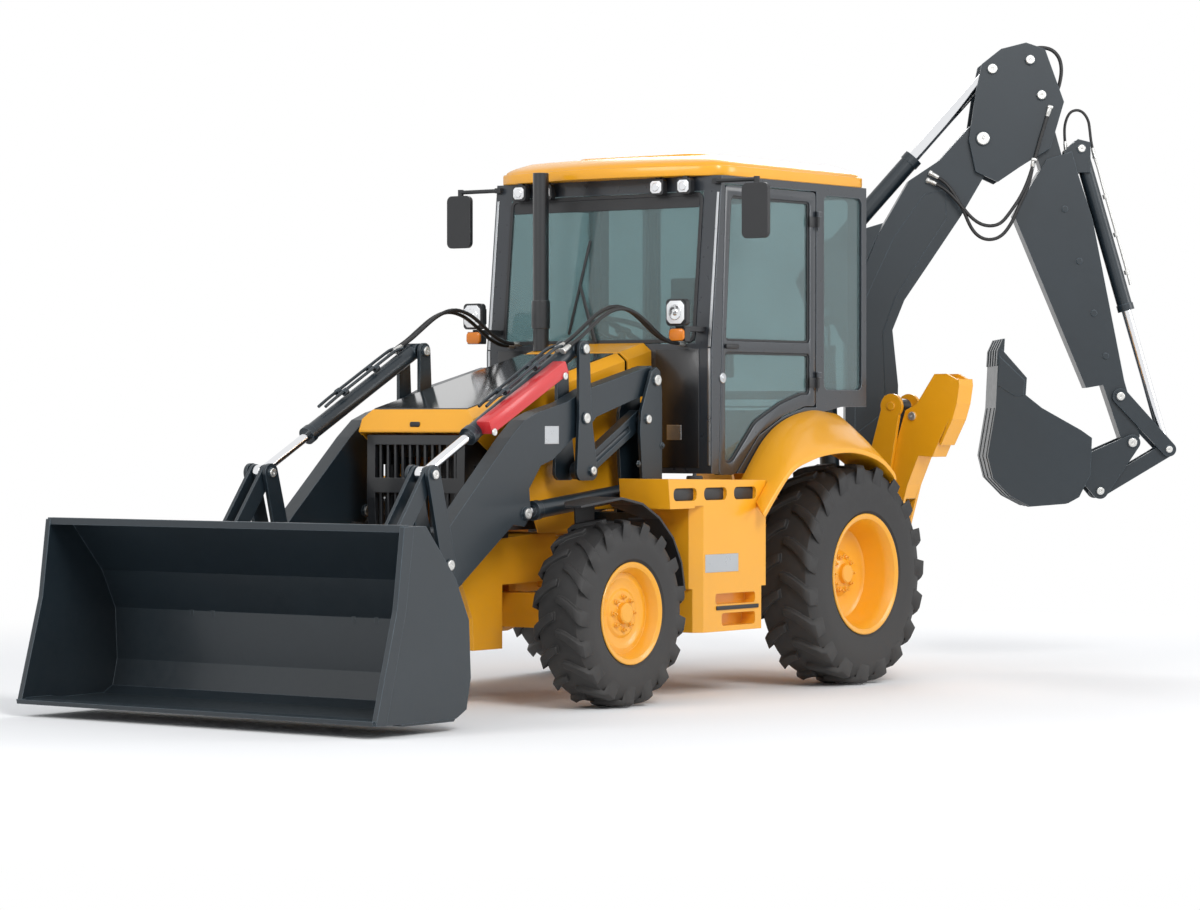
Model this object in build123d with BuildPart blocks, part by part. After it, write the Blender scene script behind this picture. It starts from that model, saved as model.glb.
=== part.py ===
from build123d import *
from math import cos, hypot, pi, radians, sin
import os

os.makedirs("parts", exist_ok=True)

# Backhoe loader: wheeled tractor with a loader bucket at the front and a swinging backhoe at the rear.
# Millimetres. Machine coordinates: x forward from the rear axle, y left from the centreline, z up
# from the floor. The part's origin is on the floor, in the middle of the whole outline.

# ---- Machine layout ----
machine_x = -882.086  # rear axle's x in the part's frame
machine_y = -262.586  # machine centreline's y in the part's frame
wheelbase = 2200.0
sides = {"left": 1, "right": -1}
pin_play = 0.1  # radial play of a pin in its bore

# ---- Wheels ----
front_radius, front_width, front_y = 506.0, 320.0, 880.0
rear_radius, rear_width, rear_y = 645.0, 390.0, 925.0
front_seat, rear_seat = 254.0, 330.0  # radii of the rims' bead seats
front_groove, rear_groove = 24.0, 30.0  # depth between the lugs
kingpin_y, kingpin_radius = 780.0, 30.0
front_pivot_z = 560.0  # the pin that the front axle rocks on

# ---- Main frame ----
rail_y, rail_thickness = 300.0, 30.0
rail_bottom, rail_top = 560.0, 900.0
rail_back, rail_front = -1180.0, 2560.0
tie_down_radius = 25.0

# ---- Cab ----
cab_half = 807.0
cab_front, cab_back = 1140.0, -470.0
cab_floor_z, cab_roof_z = 1240.0, 2925.0
wall = 45.0
hood_half, hood_back, hood_lip = 387.0, 1395.0, 2793.0

# ---- Loader: pivots in the side view (x, z), arms at loader_y on each side ----
loader_y = 560.0
arm_width = 96.0
plate_gap = 150.0  # spacing of the lever plates and tower plates, centre to centre
arm_pivot = (1447.0, 1766.0)
lever_pivot = (2106.0, 1553.0)
lever_top = (2115.0, 1930.0)
lever_low = (2050.0, 1266.0)
link_pivot = (1533.0, 1548.0)
lift_base = (1468.0, 1157.0)
lift_eye = (2590.0, 1043.0)
rocker_pivot = (3275.0, 790.0)
tilt_eye = (3400.0, 1262.0)
bucket_pivot = (3720.0, 335.0)
bucket_link_pin = (3800.0, 725.0)
bucket_half = 1212.0

# ---- Backhoe: pivots in its own upright plane (u outward from the swing axis, z up) ----
swing_x = -1450.0
swing_angle = 53.0  # how far the boom stands swung to the left
swing_pin_radius = 55.0
lug_radius, lug_height, lug_heights = 110.0, 60.0, (530.0, 890.0)
boom_foot = (190.0, 900.0)
boom_ram_base = (-70.0, 1130.0)
boom_ram_eye = (-120.0, 2210.0)
dipper_ram_base = (-215.0, 2440.0)
dipper_ram_eye = (933.0, 3745.0)
dipper_pivot = (875.0, 3308.0)
hoe_ram_base = (1503.0, 3250.0)
hoe_ram_eye = (2049.0, 1357.0)
hoe_rocker_pivot = (1743.0, 1691.0)
hoe_pivot = (1817.0, 1400.0)
hoe_link_pin = (1614.0, 1096.0)
hoe_half = 300.0
slide_way = (0.27, -0.9629)  # direction in which the dipper extends
beam_top = (1190.0, 3600.0)

# ---- Stabilizers, in the plane across the machine (y, z) ----
stabilizer_x = -1050.0
leg_pivot = (560.0, 640.0)
leg_ram_base = (687.0, 1627.0)
leg_ram_eye = (668.0, 880.0)


# ---- Planes and shapes used throughout ----
def side(y=0.0):
    """Upright plane along the machine: local x forward, local y up, normal to the right."""
    return Plane(origin=(machine_x, machine_y + y, 0), x_dir=(1, 0, 0), z_dir=(0, -1, 0))


def level(z=0.0):
    """Level plane: local x forward, local y to the left."""
    return Plane(origin=(machine_x, machine_y, z))


def across(x=0.0):
    """Upright plane across the machine: local x to the left, local y up, normal forward."""
    return Plane(origin=(machine_x + x, machine_y, 0), x_dir=(0, 1, 0), z_dir=(1, 0, 0))


def hoe(v=0.0):
    """Upright plane of the swung backhoe: local x outward, local y up, normal to its left face."""
    outward = Vector(-cos(radians(swing_angle)), sin(radians(swing_angle)), 0)
    normal = Vector(sin(radians(swing_angle)), cos(radians(swing_angle)), 0)
    centre = Vector(machine_x + swing_x, machine_y, 0) + normal * v
    return Plane(origin=centre, x_dir=outward, z_dir=normal)


def slab(plane, points, width, mode=Mode.ADD, corner=0.0):
    """A plate of the given outline, centred on the plane, with its corners rounded on request."""
    with BuildSketch(plane) as shape:
        with BuildLine():
            Polyline(*points, close=True)
        make_face()
        if corner:
            fillet(shape.vertices(), corner)
    extrude(shape.sketch, amount=width / 2, both=True, mode=mode)


def block(plane, low, high, width, mode=Mode.ADD, corner=0.0):
    """A rectangular plate between two corners, centred on the plane."""
    slab(plane, [low, (high[0], low[1]), high, (low[0], high[1])], width, mode, corner)


def pin(plane, centre, radius, length, mode=Mode.ADD):
    """A round bar along the plane's normal, centred on the plane."""
    with BuildSketch(plane) as shape:
        with Locations(centre):
            Circle(radius)
    extrude(shape.sketch, amount=length / 2, both=True, mode=mode)


def head(plane, centre, radius, length):
    """An eight-sided pin head or screw head, centred on the plane."""
    with BuildSketch(plane) as shape:
        with Locations(centre):
            RegularPolygon(radius, 8)
    extrude(shape.sketch, amount=length / 2, both=True)


def bore(plane, centre, radius, length):
    """A bore for a pin of the given radius."""
    pin(plane, centre, radius + pin_play, length, Mode.SUBTRACT)


def hull(plane, circles, width, mode=Mode.ADD):
    """A plate wrapped round a few circles, each given as (x, y, radius)."""
    with BuildSketch(plane) as shape:
        for x, y, radius in circles:
            with Locations((x, y)):
                Circle(radius)
        make_hull()
    extrude(shape.sketch, amount=width / 2, both=True, mode=mode)


def stick(plane, start, end, radius, mode=Mode.ADD):
    """A round bar lying in the plane, from start to end."""
    first = plane.from_local_coords(Vector(start[0], start[1], 0))
    last = plane.from_local_coords(Vector(end[0], end[1], 0))
    with BuildSketch(Plane(origin=first, x_dir=plane.z_dir, z_dir=last - first)) as shape:
        Circle(radius)
    extrude(shape.sketch, amount=(last - first).length, mode=mode)


def between(start, end, distance):
    """The point at a distance from start towards end."""
    length = hypot(end[0] - start[0], end[1] - start[1])
    share = distance / length
    return (start[0] + (end[0] - start[0]) * share, start[1] + (end[1] - start[1]) * share)


def barrel(plane, base, eye, radius, length, eye_radius, eye_width, bore_radius, pin_radius):
    """A hydraulic cylinder's barrel: rear eye, tube and gland, with the bore that the rod runs in."""
    stick(plane, between(base, eye, eye_radius * 0.6), between(base, eye, length), radius)
    stick(plane, between(base, eye, length - radius * 0.9), between(base, eye, length), radius * 1.12)
    pin(plane, base, eye_radius, eye_width)
    if pin_radius:
        bore(plane, base, pin_radius, eye_width + 10)
    stick(plane, between(base, eye, eye_radius + 30), between(base, eye, length + 5), bore_radius, Mode.SUBTRACT)


def rod(plane, base, eye, radius, inside, eye_radius, eye_width):
    """A cylinder's rod: it starts inside the barrel and ends in an eye round its pin."""
    stick(plane, between(base, eye, inside), eye, radius)
    pin(plane, eye, eye_radius, eye_width)


# ---- Main frame, axles and engine ----
bumper = [(2440, 304), (2690, 304), (2700, 480), (2790, 665), (2440, 650)]
carrier = [(1960, 660), (2440, 650), (2790, 665), (2736, 885), (2560, 895), (2090, 922), (1960, 922)]
frame_tower = [(300, 500), (640, 540), (660, 720), (620, 900), (740, 1560), (740, 1670), (640, 1690), (480, 1150),
               (300, 1150)]
with BuildPart() as main_frame:
    for sign in sides.values():
        slab(side(sign * rail_y), [(rail_back, rail_bottom), (1900, rail_bottom), (1960, 660), (rail_front, 660),
                                   (rail_front, rail_top), (rail_back, rail_top)], rail_thickness)
    slab(side(), carrier, 660)
    slab(side(), bumper, 660)
    # the carrier is hollow from below, round the axle's top
    block(side(), (1900, 600), (2380, 800), 560, Mode.SUBTRACT)
    for x in (2070, 2330):
        block(across(x), (-110, 540), (110, 810), 60)
    bore(across(wheelbase), (0, front_pivot_z), 45, 400)
    block(level(730), (rail_back, -300), (-700, 300), 340)
    block(level(730), (250, -300), (330, 300), 300)
    block(level(730), (1250, -300), (1330, 300), 300)
    # outriggers under the side boxes and the cab
    for x in (1000, 1420):
        block(side(), (x, 760), (x + 120, 880), 1340)
    # saddles over the rear axle's tube
    pin(side(), (0, rear_radius), 112, 700, Mode.SUBTRACT)
    block(side(), (-112, 500), (112, rear_radius), 700, Mode.SUBTRACT)
    # rear frame: two plates a side carry the stabilizers, with a closed box between them
    for sign in sides.values():
        for x in (stabilizer_x - 100, stabilizer_x + 100):
            slab(across(x), [(sign * y, z) for y, z in frame_tower], 25)
            pin(across(x), (sign * leg_ram_base[0], leg_ram_base[1]), 75, 25)
        pin(across(stabilizer_x), (sign * leg_pivot[0], leg_pivot[1]), 35, 260)
        pin(across(stabilizer_x), (sign * leg_ram_base[0], leg_ram_base[1]), 25, 240)
        pin(across(stabilizer_x), (sign * 400, 570), tie_down_radius, 300, Mode.SUBTRACT)
    block(level(1138), (stabilizer_x - 112, -480), (stabilizer_x + 112, 480), 24)
    block(across(stabilizer_x - 100), (-310, 450), (310, 1150), 25)
    # swing bearing: an upper and a lower lug
    for z in lug_heights:
        block(level(z), (swing_x + 20, -lug_radius), (stabilizer_x - 90, lug_radius), lug_height)
        pin(level(z), (swing_x, 0), lug_radius, lug_height)
        bore(level(z), (swing_x, 0), swing_pin_radius, lug_height + 20)
main_frame.part.label = "main_frame"
export_step(main_frame.part, "parts/main_frame.step")

with BuildPart() as front_axle:
    slab(across(wheelbase), [(-700, 430), (-560, 412), (-200, 412), (-120, 380), (120, 380), (200, 412), (560, 412),
                             (700, 430), (700, 582), (560, 600), (-560, 600), (-700, 582)], 150)
    pin(across(wheelbase), (0, front_pivot_z), 45, 340)
    pin(across(wheelbase), (0, 490), 118, 180)
    for sign in sides.values():
        for z in (432, 580):
            hull(level(z), [(wheelbase, sign * kingpin_y, 60), (wheelbase, sign * 690, 75)], 40)
        bore(level(506), (wheelbase, sign * kingpin_y), kingpin_radius, 300)
        pin(level(506), (wheelbase, sign * kingpin_y), 78, 108, Mode.SUBTRACT)
front_axle.part.label = "front_axle"
export_step(front_axle.part, "parts/front_axle.step")

with BuildPart() as rear_axle:
    pin(side(), (0, rear_radius), 110, 1380)
    with BuildSketch(side()) as differential:
        with Locations((0, rear_radius)):
            Circle(230)
    extrude(differential.sketch, amount=60, both=True)
    extrude(differential.sketch, amount=200, both=True, taper=35)
    for sign in sides.values():
        slab(side(sign * 250), [(-150, rear_radius), (150, rear_radius), (150, 900), (-150, 900)], 60)
        pin(side(sign * 795), (0, rear_radius), 150, 214)
rear_axle.part.label = "rear_axle"
export_step(rear_axle.part, "parts/rear_axle.step")

with BuildPart() as engine_block:
    block(side(), (1500, 940), (2390, 1420), 440)
engine_block.part.label = "engine_block"
export_step(engine_block.part, "parts/engine_block.step")


# ---- Wheels ----
facets = 32  # the wheels are faceted, with a flat on the floor


def wheel_ring(x, y, radius, sections, mode=Mode.ADD):
    """A faceted ring round a wheel's axle: sections are (distance outboard of its middle, radius)."""
    sign = 1 if y > 0 else -1
    faces = []
    for out, r in sections:
        with BuildSketch(side(y + sign * out)) as section:
            with Locations((x, radius)):
                RegularPolygon(r, facets, major_radius=False, rotation=180 / facets)
        faces.append(section.sketch.face())
    loft(faces, ruled=True, mode=mode)


guard_points = [(-591, 605), (-560, 760), (-480, 900), (-350, 1015), (-190, 1095), (0, 1129), (366, 1090), (364, 1078),
                (0, 1116), (-186, 1083), (-343, 1004), (-470, 892), (-548, 755), (-579, 605)]
for name, sign in sides.items():
    for end, x, y, radius, width, seat, groove, slant, disc_out, hub_out in (
        ("front", wheelbase, front_y, front_radius, front_width, front_seat, front_groove, 95.0, 60.0, 118.0),
        ("rear", 0.0, rear_y, rear_radius, rear_width, rear_seat, rear_groove, 120.0, -20.0, 60.0),
    ):
        half = width / 2
        carcass = radius - groove
        rim = half - 22
        with BuildPart() as tyre:
            wheel_ring(x, sign * y, radius, [(-half, radius - 100), (18 - half, carcass), (half - 18, carcass),
                                             (half, radius - 100)])
            # lugs in a chevron, their shoulder ends leading
            for number in range(facets):
                hand = 1 if number % 2 else -1
                turn = 360.0 / facets * (number + 0.5)
                outward = Vector(cos(radians(turn)), 0, sin(radians(turn)))
                foot = Vector(machine_x + x, machine_y + sign * y, radius) + outward * (radius - 105)
                wide = 0.052 * radius
                with BuildSketch(Plane(origin=foot, x_dir=(0, 1, 0), z_dir=outward)) as lug:
                    with BuildLine():
                        Polyline((hand * 8, wide - slant / 2), (hand * half * 0.5, wide * 0.9),
                                 (hand * (half - 1), wide * 1.2 + slant / 2), (hand * (half - 1), slant / 2 - wide * 1.2),
                                 (hand * half * 0.5, -wide * 1.1), (hand * 8, -wide - slant / 2), close=True)
                    make_face()
                extrude(lug.sketch, amount=125)
            wheel_ring(x, sign * y, radius, [(-half, radius), (half, radius)], Mode.INTERSECT)
            for hand in (1, -1):
                wheel_ring(x, sign * y, radius, [(hand * (half - 26), seat + 24), (hand * (half + 2), seat + 62)],
                           Mode.SUBTRACT)
            wheel_ring(x, sign * y, radius, [(-half - 5, seat + 0.3), (half + 5, seat + 0.3)], Mode.SUBTRACT)
        tyre.part.label = f"{end}_tyre_{name}"
        export_step(tyre.part, f"parts/{end}_tyre_{name}.step")

        with BuildPart() as wheel:
            wheel_ring(x, sign * y, radius, [(-rim - 10, seat + 22), (-rim - 2, seat + 23), (4 - rim, seat),
                                             (rim - 4, seat), (rim + 2, seat + 23), (rim + 10, seat + 22)])
            wheel_ring(x, sign * y, radius, [(disc_out + 20, seat - 62), (rim - 40, seat - 30), (rim - 2, seat - 14),
                                             (rim + 11, seat + 8)], Mode.SUBTRACT)
            wheel_ring(x, sign * y, radius, [(-rim - 11, seat + 8), (2 - rim, seat - 14), (40 - rim, seat - 30),
                                             (disc_out, seat - 44)], Mode.SUBTRACT)
            wheel_ring(x, sign * y, radius, [(disc_out + 10, 120), (disc_out + 40, 92), (hub_out - 12, 84),
                                             (hub_out, 60)])
        wheel.part.label = f"{end}_rim_{name}"
        export_step(wheel.part, f"parts/{end}_rim_{name}.step")

    with BuildPart() as knuckle:
        pin(level(front_radius), (wheelbase, sign * kingpin_y), kingpin_radius, 200)
        pin(level(front_radius), (wheelbase, sign * kingpin_y), 66, 102)
        pin(level(624), (wheelbase, sign * kingpin_y), 60, 36)
        pin(side(sign * (kingpin_y + 80)), (wheelbase, front_radius), 45, 158)
        # mudguard on its bracket, with its inner corners cut back to pass the loader at full lock
        block(level(633), (wheelbase - 55, sign * 706), (wheelbase + 55, sign * kingpin_y), 18)
        slab(side(sign * 706), [(wheelbase - 55, 624), (wheelbase + 55, 624), (wheelbase + 90, 1112),
                                (wheelbase - 90, 1112)], 12)
        slab(side(sign * 850), [(wheelbase + reach, z) for reach, z in guard_points], 220)
        block(side(sign * 730), (wheelbase - 85, 1085), (wheelbase + 85, 1112), 60)
        slab(level(900), [(wheelbase + 150, sign * 680), (wheelbase + 403, sign * 680), (wheelbase + 403, sign * 885)],
             900, Mode.SUBTRACT)
        slab(level(900), [(wheelbase - 130, sign * 680), (wheelbase - 360, sign * 680), (wheelbase - 360, sign * 860)],
             900, Mode.SUBTRACT)
    knuckle.part.label = f"knuckle_{name}"
    export_step(knuckle.part, f"parts/knuckle_{name}.step")

# ---- Hood, cowl, grille and exhaust ----
hood_hinge = (1400.0, 1895.0)
hood_slope = 0.238  # fall of the top for each millimetre forward
nose = (2743.0, 1600.0)  # front edge of the top
panel_half = 331.0  # half the width of the flat top, inboard of its shoulders


def hood_top(x, drop=0.0):
    """The point of the hood's top line at x, or a little below it."""
    return (x, nose[1] + (nose[0] - x) * hood_slope - drop)


def hood_section(inset, start, end, mode):
    """The hood's cross-section, with shoulders along both edges of the top, run along its slope."""
    back = side().from_local_coords(Vector(*hood_top(start, inset), 0))
    front = side().from_local_coords(Vector(*hood_top(end, inset), 0))
    half = hood_half - inset
    flat = panel_half - inset / 2
    with BuildSketch(Plane(origin=back, x_dir=(0, 1, 0), z_dir=front - back)) as section:
        with BuildLine():
            Polyline((-half, -1200), (-half, -44), (-flat, 0), (flat, 0), (half, -44), (half, -1200), close=True)
        make_face()
    extrude(section.sketch, amount=(front - back).length, mode=mode)


with BuildPart() as hood_core:
    hood_section(8, 1300, 2900, Mode.ADD)
    slab(side(), [(1300, 800), (2900, 800), (2785, 1470), (2785, 1484), (2736, 1592), (2736, 2100), (1300, 2100)],
         2 * hood_half + 20, Mode.INTERSECT)
with BuildPart() as hood:
    hood_section(0, hood_back - 60, 2900, Mode.ADD)
    slab(side(), [(hood_back, 1045), (1700, 1045), (1740, 925), (2190, 925), (2283, 1113), (2586, 1350), (2793, 1478),
                  (2793, 1487), nose, (nose[0], 2100), (hood_back, 2100)], 2 * hood_half + 20, Mode.INTERSECT)
    add(hood_core.part, mode=Mode.SUBTRACT)
    for y in (-270, 270):
        hull(side(y), [(*hood_hinge, 15), (1450, 1888, 14)], 20)
        bore(side(y), hood_hinge, 9, 40)
hood.part.label = "hood"
export_step(hood.part, "parts/hood.step")

with BuildPart() as hood_panel:
    slab(side(), [hood_top(hood_back + 25), hood_top(nose[0] - 6), hood_top(nose[0] - 9, -5),
                  hood_top(hood_back + 28, -5)], 2 * panel_half - 12)
hood_panel.part.label = "hood_panel"
export_step(hood_panel.part, "parts/hood_panel.step")

cowl_front = 1365.0
with BuildPart() as cowl:
    hood_section(0, cab_front - 60, cowl_front + 60, Mode.ADD)
    hood_section(10, cab_front - 80, cowl_front + 80, Mode.SUBTRACT)
    slab(side(), [(cab_front, 900), (cowl_front, 900), (cowl_front, 2100), (cab_front, 2100)],
         2 * hood_half + 20, Mode.INTERSECT)
    for y in (-246, 246):
        hull(side(y), [(*hood_hinge, 12), (1345, 1850, 18)], 12)
        block(side(y), (1330, 1845), (1352, 1925), 12)
        pin(side(y * 1.06), hood_hinge, 9, 42)
    pin(level(1930), (1290, -290), 34, 200, Mode.SUBTRACT)
cowl.part.label = "cowl"
export_step(cowl.part, "parts/cowl.step")

with BuildPart() as grille:
    slab(side(), [(2400, 904.5), (2560, 895.3), (2736, 885.3), (2760, 890), (2782, 1120), (2776, 1462), (2700, 1462),
                  (2560, 1370), (2400, 1370)], 680)
    slab(side(), [(2380, 860), (2735, 860), (2752, 1120), (2746, 1435), (2705, 1435), (2560, 1340), (2380, 1340)], 630,
         Mode.SUBTRACT)
    # front openings above and below a plain bar, and side openings between fins
    for low, high in ((960, 1150), (1230, 1410)):
        block(across(2760), (-285, low), (285, high), 100, Mode.SUBTRACT)
    for low, high in ((960, 1130), (1170, 1300)):
        block(side(), (2460, low), (2700, high), 800, Mode.SUBTRACT)
    for number in range(11):
        block(across(2753), (-260 + 52 * number - 7, 950), (-260 + 52 * number + 7, 1420), 18)
    for sign in sides.values():
        for number in range(5):
            slab(side(sign * 329), [(2478 + 46 * number, 950), (2492 + 46 * number, 950), (2492 + 46 * number, 1310),
                                    (2478 + 46 * number, 1310)], 18)
grille.part.label = "grille"
export_step(grille.part, "parts/grille.step")

with BuildPart() as exhaust:
    pin(level(2452), (1290, -290), 46, 1026)
    pin(level(2150), (1290, -290), 54, 160)
    pin(level(2900), (1290, -290), 38, 200, Mode.SUBTRACT)
    # its foot sits on the slope of the cowl
    slab(side(-290), [hood_top(1200), hood_top(1380), (1380, 1800), (1200, 1800)], 200, Mode.SUBTRACT)
exhaust.part.label = "exhaust"
export_step(exhaust.part, "parts/exhaust.step")

# ---- Cab ----
door_outline = [(1075, 1225), (905, 1225), (665, 1455), (420, 1560), (190, 1615), (70, 1615), (70, 2880), (1010, 2880)]
with BuildPart() as cab_shell:
    slab(side(), [(cab_front, cab_floor_z), (cab_front, 1940), (1040, cab_roof_z), (cab_back, cab_roof_z),
                  (cab_back, 1620), (-200, 1620), (200, 1560), (420, 1400), (640, cab_floor_z)], 2 * cab_half)
    slab(side(), [(cab_front - wall, cab_floor_z + wall), (cab_front - wall, 1940), (1040 - wall, cab_roof_z + 50),
                  (cab_back + wall, cab_roof_z + 50), (cab_back + wall, 1665), (-180, 1665), (230, 1600), (450, 1440),
                  (670, cab_floor_z + wall)], 2 * (cab_half - wall), Mode.SUBTRACT)
    slab(side(), door_outline, 2 * cab_half + 20, Mode.SUBTRACT)
    slab(side(), [(-10, 1720), (-10, 2860), (-420, 2860), (-420, 1720)], 2 * cab_half + 20, Mode.SUBTRACT, 40)
    block(across(cab_front), (-690, 1975), (690, 2840), 400, Mode.SUBTRACT)
    block(across(cab_back), (-700, 1720), (700, 2860), 300, Mode.SUBTRACT, 40)
    # band over the windscreen, cross member behind the seat and the doors' hinge leaves
    for sign in sides.values():
        for z in (1760, 2700):
            block(side(sign * (cab_half + 3)), (20, z + 32), (68, z + 62), 6)
            pin(level(z + 47), (73, sign * (cab_half + 12)), 12, 30)
            pin(level(z), (73, sign * (cab_half + 12)), 6, 100)
cab_shell.part.label = "cab_shell"
export_step(cab_shell.part, "parts/cab_shell.step")

with BuildPart() as cab_roof:
    for low, high, inset, crown in ((cab_roof_z, 2985, 0, 8), (2985, 3050, 14, 62)):
        with BuildSketch(level(low)) as plan:
            with BuildLine():
                front = Polyline((1040 - inset, 760 - inset), (900, 815 - inset), (cab_back + 90, 815 - inset),
                                 (cab_back + inset, 740 - inset), (cab_back + inset, -740 + inset),
                                 (cab_back + 90, -815 + inset), (900, -815 + inset), (1040 - inset, -760 + inset))
                ThreePointArc(front @ 1, (1180 - inset, 0), front @ 0)
            make_face()
        extrude(plan.sketch, amount=high - low, taper=crown)
    with BuildSketch(level(3046)) as plan:
        with Locations((330, 0)):
            RectangleRounded(900, 900, 120)
    extrude(plan.sketch, amount=36, taper=60)
cab_roof.part.label = "cab_roof"
export_step(cab_roof.part, "parts/cab_roof.step")

with BuildPart() as cab_glass:
    slab(side(), [(1126, 1977), (1134, 1977), (1048, 2838), (1040, 2838)], 1378)
    block(across(cab_back + 20), (-699, 1721), (699, 2859), 6, Mode.ADD, 40)
    for sign in sides.values():
        block(side(sign * (cab_half - 20)), (-419, 1721), (-11, 2859), 6, Mode.ADD, 40)
cab_glass.part.label = "cab_glass"
export_step(cab_glass.part, "parts/cab_glass.step")

door_frame = [(1068, 1232), (908, 1232), (669, 1461), (421, 1567), (191, 1622), (77, 1622), (77, 2873), (1004, 2873)]
door_windows = [
    [(1003, 1990), (140, 1990), (140, 2815), (947, 2815)],
    [(1010, 1300), (938, 1300), (700, 1525), (440, 1635), (220, 1690), (140, 1690), (140, 1930), (1010, 1930)],
]
for name, sign in sides.items():
    with BuildPart() as door:
        slab(side(sign * (cab_half - wall / 2)), door_frame, wall)
        for window in door_windows:
            slab(side(sign * (cab_half - wall / 2)), window, wall + 10, Mode.SUBTRACT)
            slab(side(sign * (cab_half - 20)), window, 6)
        for z in (1760, 2700):
            block(side(sign * (cab_half + 3)), (79, z - 30), (150, z + 30), 6)
            pin(level(z), (73, sign * (cab_half + 12)), 12, 60)
            bore(level(z), (73, sign * (cab_half + 12)), 6, 80)
        # handle in its recess
        block(side(sign * (cab_half + 9)), (900, 1948), (1010, 1972), 20)
    door.part.label = f"door_{name}"
    export_step(door.part, f"parts/door_{name}.step")

with BuildPart() as seat:
    block(side(), (150, 1700), (650, 1800), 480, Mode.ADD, 35)
    slab(side(), [(110, 1780), (210, 1780), (150, 2420), (80, 2420)], 440, Mode.ADD, 30)
    slab(side(), [(250, 1705), (250, 1586.3), (449, 1441.3), (520, 1391.5), (540, 1705)], 300)
    for y in (-270, 270):
        block(side(y), (230, 1960), (560, 2010), 60, Mode.ADD, 20)
        block(side(y), (170, 1790), (240, 1985), 40)
    block(side(), (150, 1800), (230, 1860), 560)
seat.part.label = "seat"
export_step(seat.part, "parts/seat.step")

with BuildPart() as controls:
    slab(side(), [(880, 1285), (1060, 1285), (1010, 1900), (930, 1900)], 200)
    stick(side(), (950, 1880), (889, 2044), 25)
    wheel_plane = Plane(origin=side().from_local_coords(Vector(885, 2050, 0)), z_dir=(-0.35, 0, 0.94))
    with BuildSketch(wheel_plane) as ring:
        Circle(195)
        Circle(168, mode=Mode.SUBTRACT)
        Rectangle(350, 34)
        Circle(48)
    extrude(ring.sketch, amount=22)
controls.part.label = "controls"
export_step(controls.part, "parts/controls.step")

# ---- Fenders and side boxes ----
fender_inner = [(862, 1204), (638, 1429), (420, 1545), (169, 1598), (-20, 1592), (-208, 1552), (-463, 1364),
                (-500, 1250)]
fender_outer = [(1075, 1015), (810, 1255), (600, 1335), (390, 1372), (120, 1378), (-145, 1325), (-300, 1240),
                (-330, 1190)]
arch = [(1050, 990), (803, 1228), (600, 1310), (390, 1342), (150, 1352), (0, 1345), (-145, 1315), (-300, 1240),
        (-440, 1140), (-600, 900), (1050, 900)]
with BuildPart() as rear_fenders:
    for sign in sides.values():
        for y, top in ((812, fender_inner), (1110, fender_outer)):
            with BuildSketch(side(sign * y)):
                with BuildLine():
                    Polyline(*top, (-340, 1000), (1000, 1000), close=True)
                make_face()
        loft()
        slab(side(sign * 961), arch, 400, Mode.SUBTRACT)
        block(side(sign * 900), (895, 1000), (1200, 1250), 240, Mode.SUBTRACT)
rear_fenders.part.label = "rear_fenders"
export_step(rear_fenders.part, "parts/rear_fenders.step")

step_y, step_width = 847.0, 334.0
with BuildPart() as side_steps:
    for sign in sides.values():
        # platform below the door, its edge cut out for grip
        slab(side(sign * step_y), [(905, 1062), (1830, 1057), (1850, 1222), (905, 1205)], step_width)
        for x in (1000, 1290, 1580):
            block(side(sign * 1010), (x, 1100), (x + 220, 1170), 40, Mode.SUBTRACT, 30)
        # tank, with its front corner cut back, and the step box under it
        block(side(sign * step_y), (905, 611), (1575, 1062), step_width)
        block(side(sign * step_y), (950, 370), (1560, 611), step_width)
        slab(level(720), [(1500, sign * 1030), (1600, sign * 1030), (1600, sign * 930)], 700, Mode.SUBTRACT)
        block(side(sign * 1000), (1010, 400), (1340, 470), 160, Mode.SUBTRACT, 20)
        block(side(sign * 1000), (1010, 520), (1400, 580), 120, Mode.SUBTRACT, 20)
        pin(level(1066), (1440, sign * 900), 52, 60, Mode.SUBTRACT)
side_steps.part.label = "side_steps"
export_step(side_steps.part, "parts/side_steps.step")

# ---- Lamps and mirrors ----
with BuildPart() as lamps:
    for sign in sides.values():
        # headlamp over its indicator, on a bracket from the cab's front
        with BuildSketch(across(1372)) as lens:
            with Locations((sign * 726, 2145)):
                RectangleRounded(140, 150, 25)
        extrude(lens.sketch, amount=-34)
        extrude(lens.sketch, amount=-82, taper=22)
        block(side(sign * 726), (1312, 1984), (1358, 2056), 104, Mode.ADD, 8)
        slab(side(sign * 726), [(1130.1, 2040), (1336, 2040), (1336, 2068), (1128, 2068)], 60)
        # work lamps under the front of the roof
        for y in (400, 590):
            with BuildSketch(across(1112)) as lens:
                with Locations((sign * y, 2868)):
                    RectangleRounded(96, 90, 16)
            extrude(lens.sketch, amount=-40)
            block(across(1085), (sign * y - 14, 2905), (sign * y + 14, cab_roof_z), 26)
lamps.part.label = "lamps"
export_step(lamps.part, "parts/lamps.step")

with BuildPart() as mirrors:
    for sign in sides.values():
        with BuildSketch(across(1088)) as housing:
            with Locations((sign * 1062, 2716)):
                RectangleRounded(176, 310, 34)
        extrude(housing.sketch, amount=-26)
        extrude(housing.sketch, amount=-52, taper=30)
        stick(across(1066), (sign * 1062, 2850), (sign * 1062, 2908), 17)
        stick(across(1066), (sign * 1058, 2892), (sign * 790, 2892), 12)
        slab(side(sign * 780), [(1042, 2908), (1045.1, 2878), (1074, 2878), (1074, 2908)], 40)
mirrors.part.label = "mirrors"
export_step(mirrors.part, "parts/mirrors.step")

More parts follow.
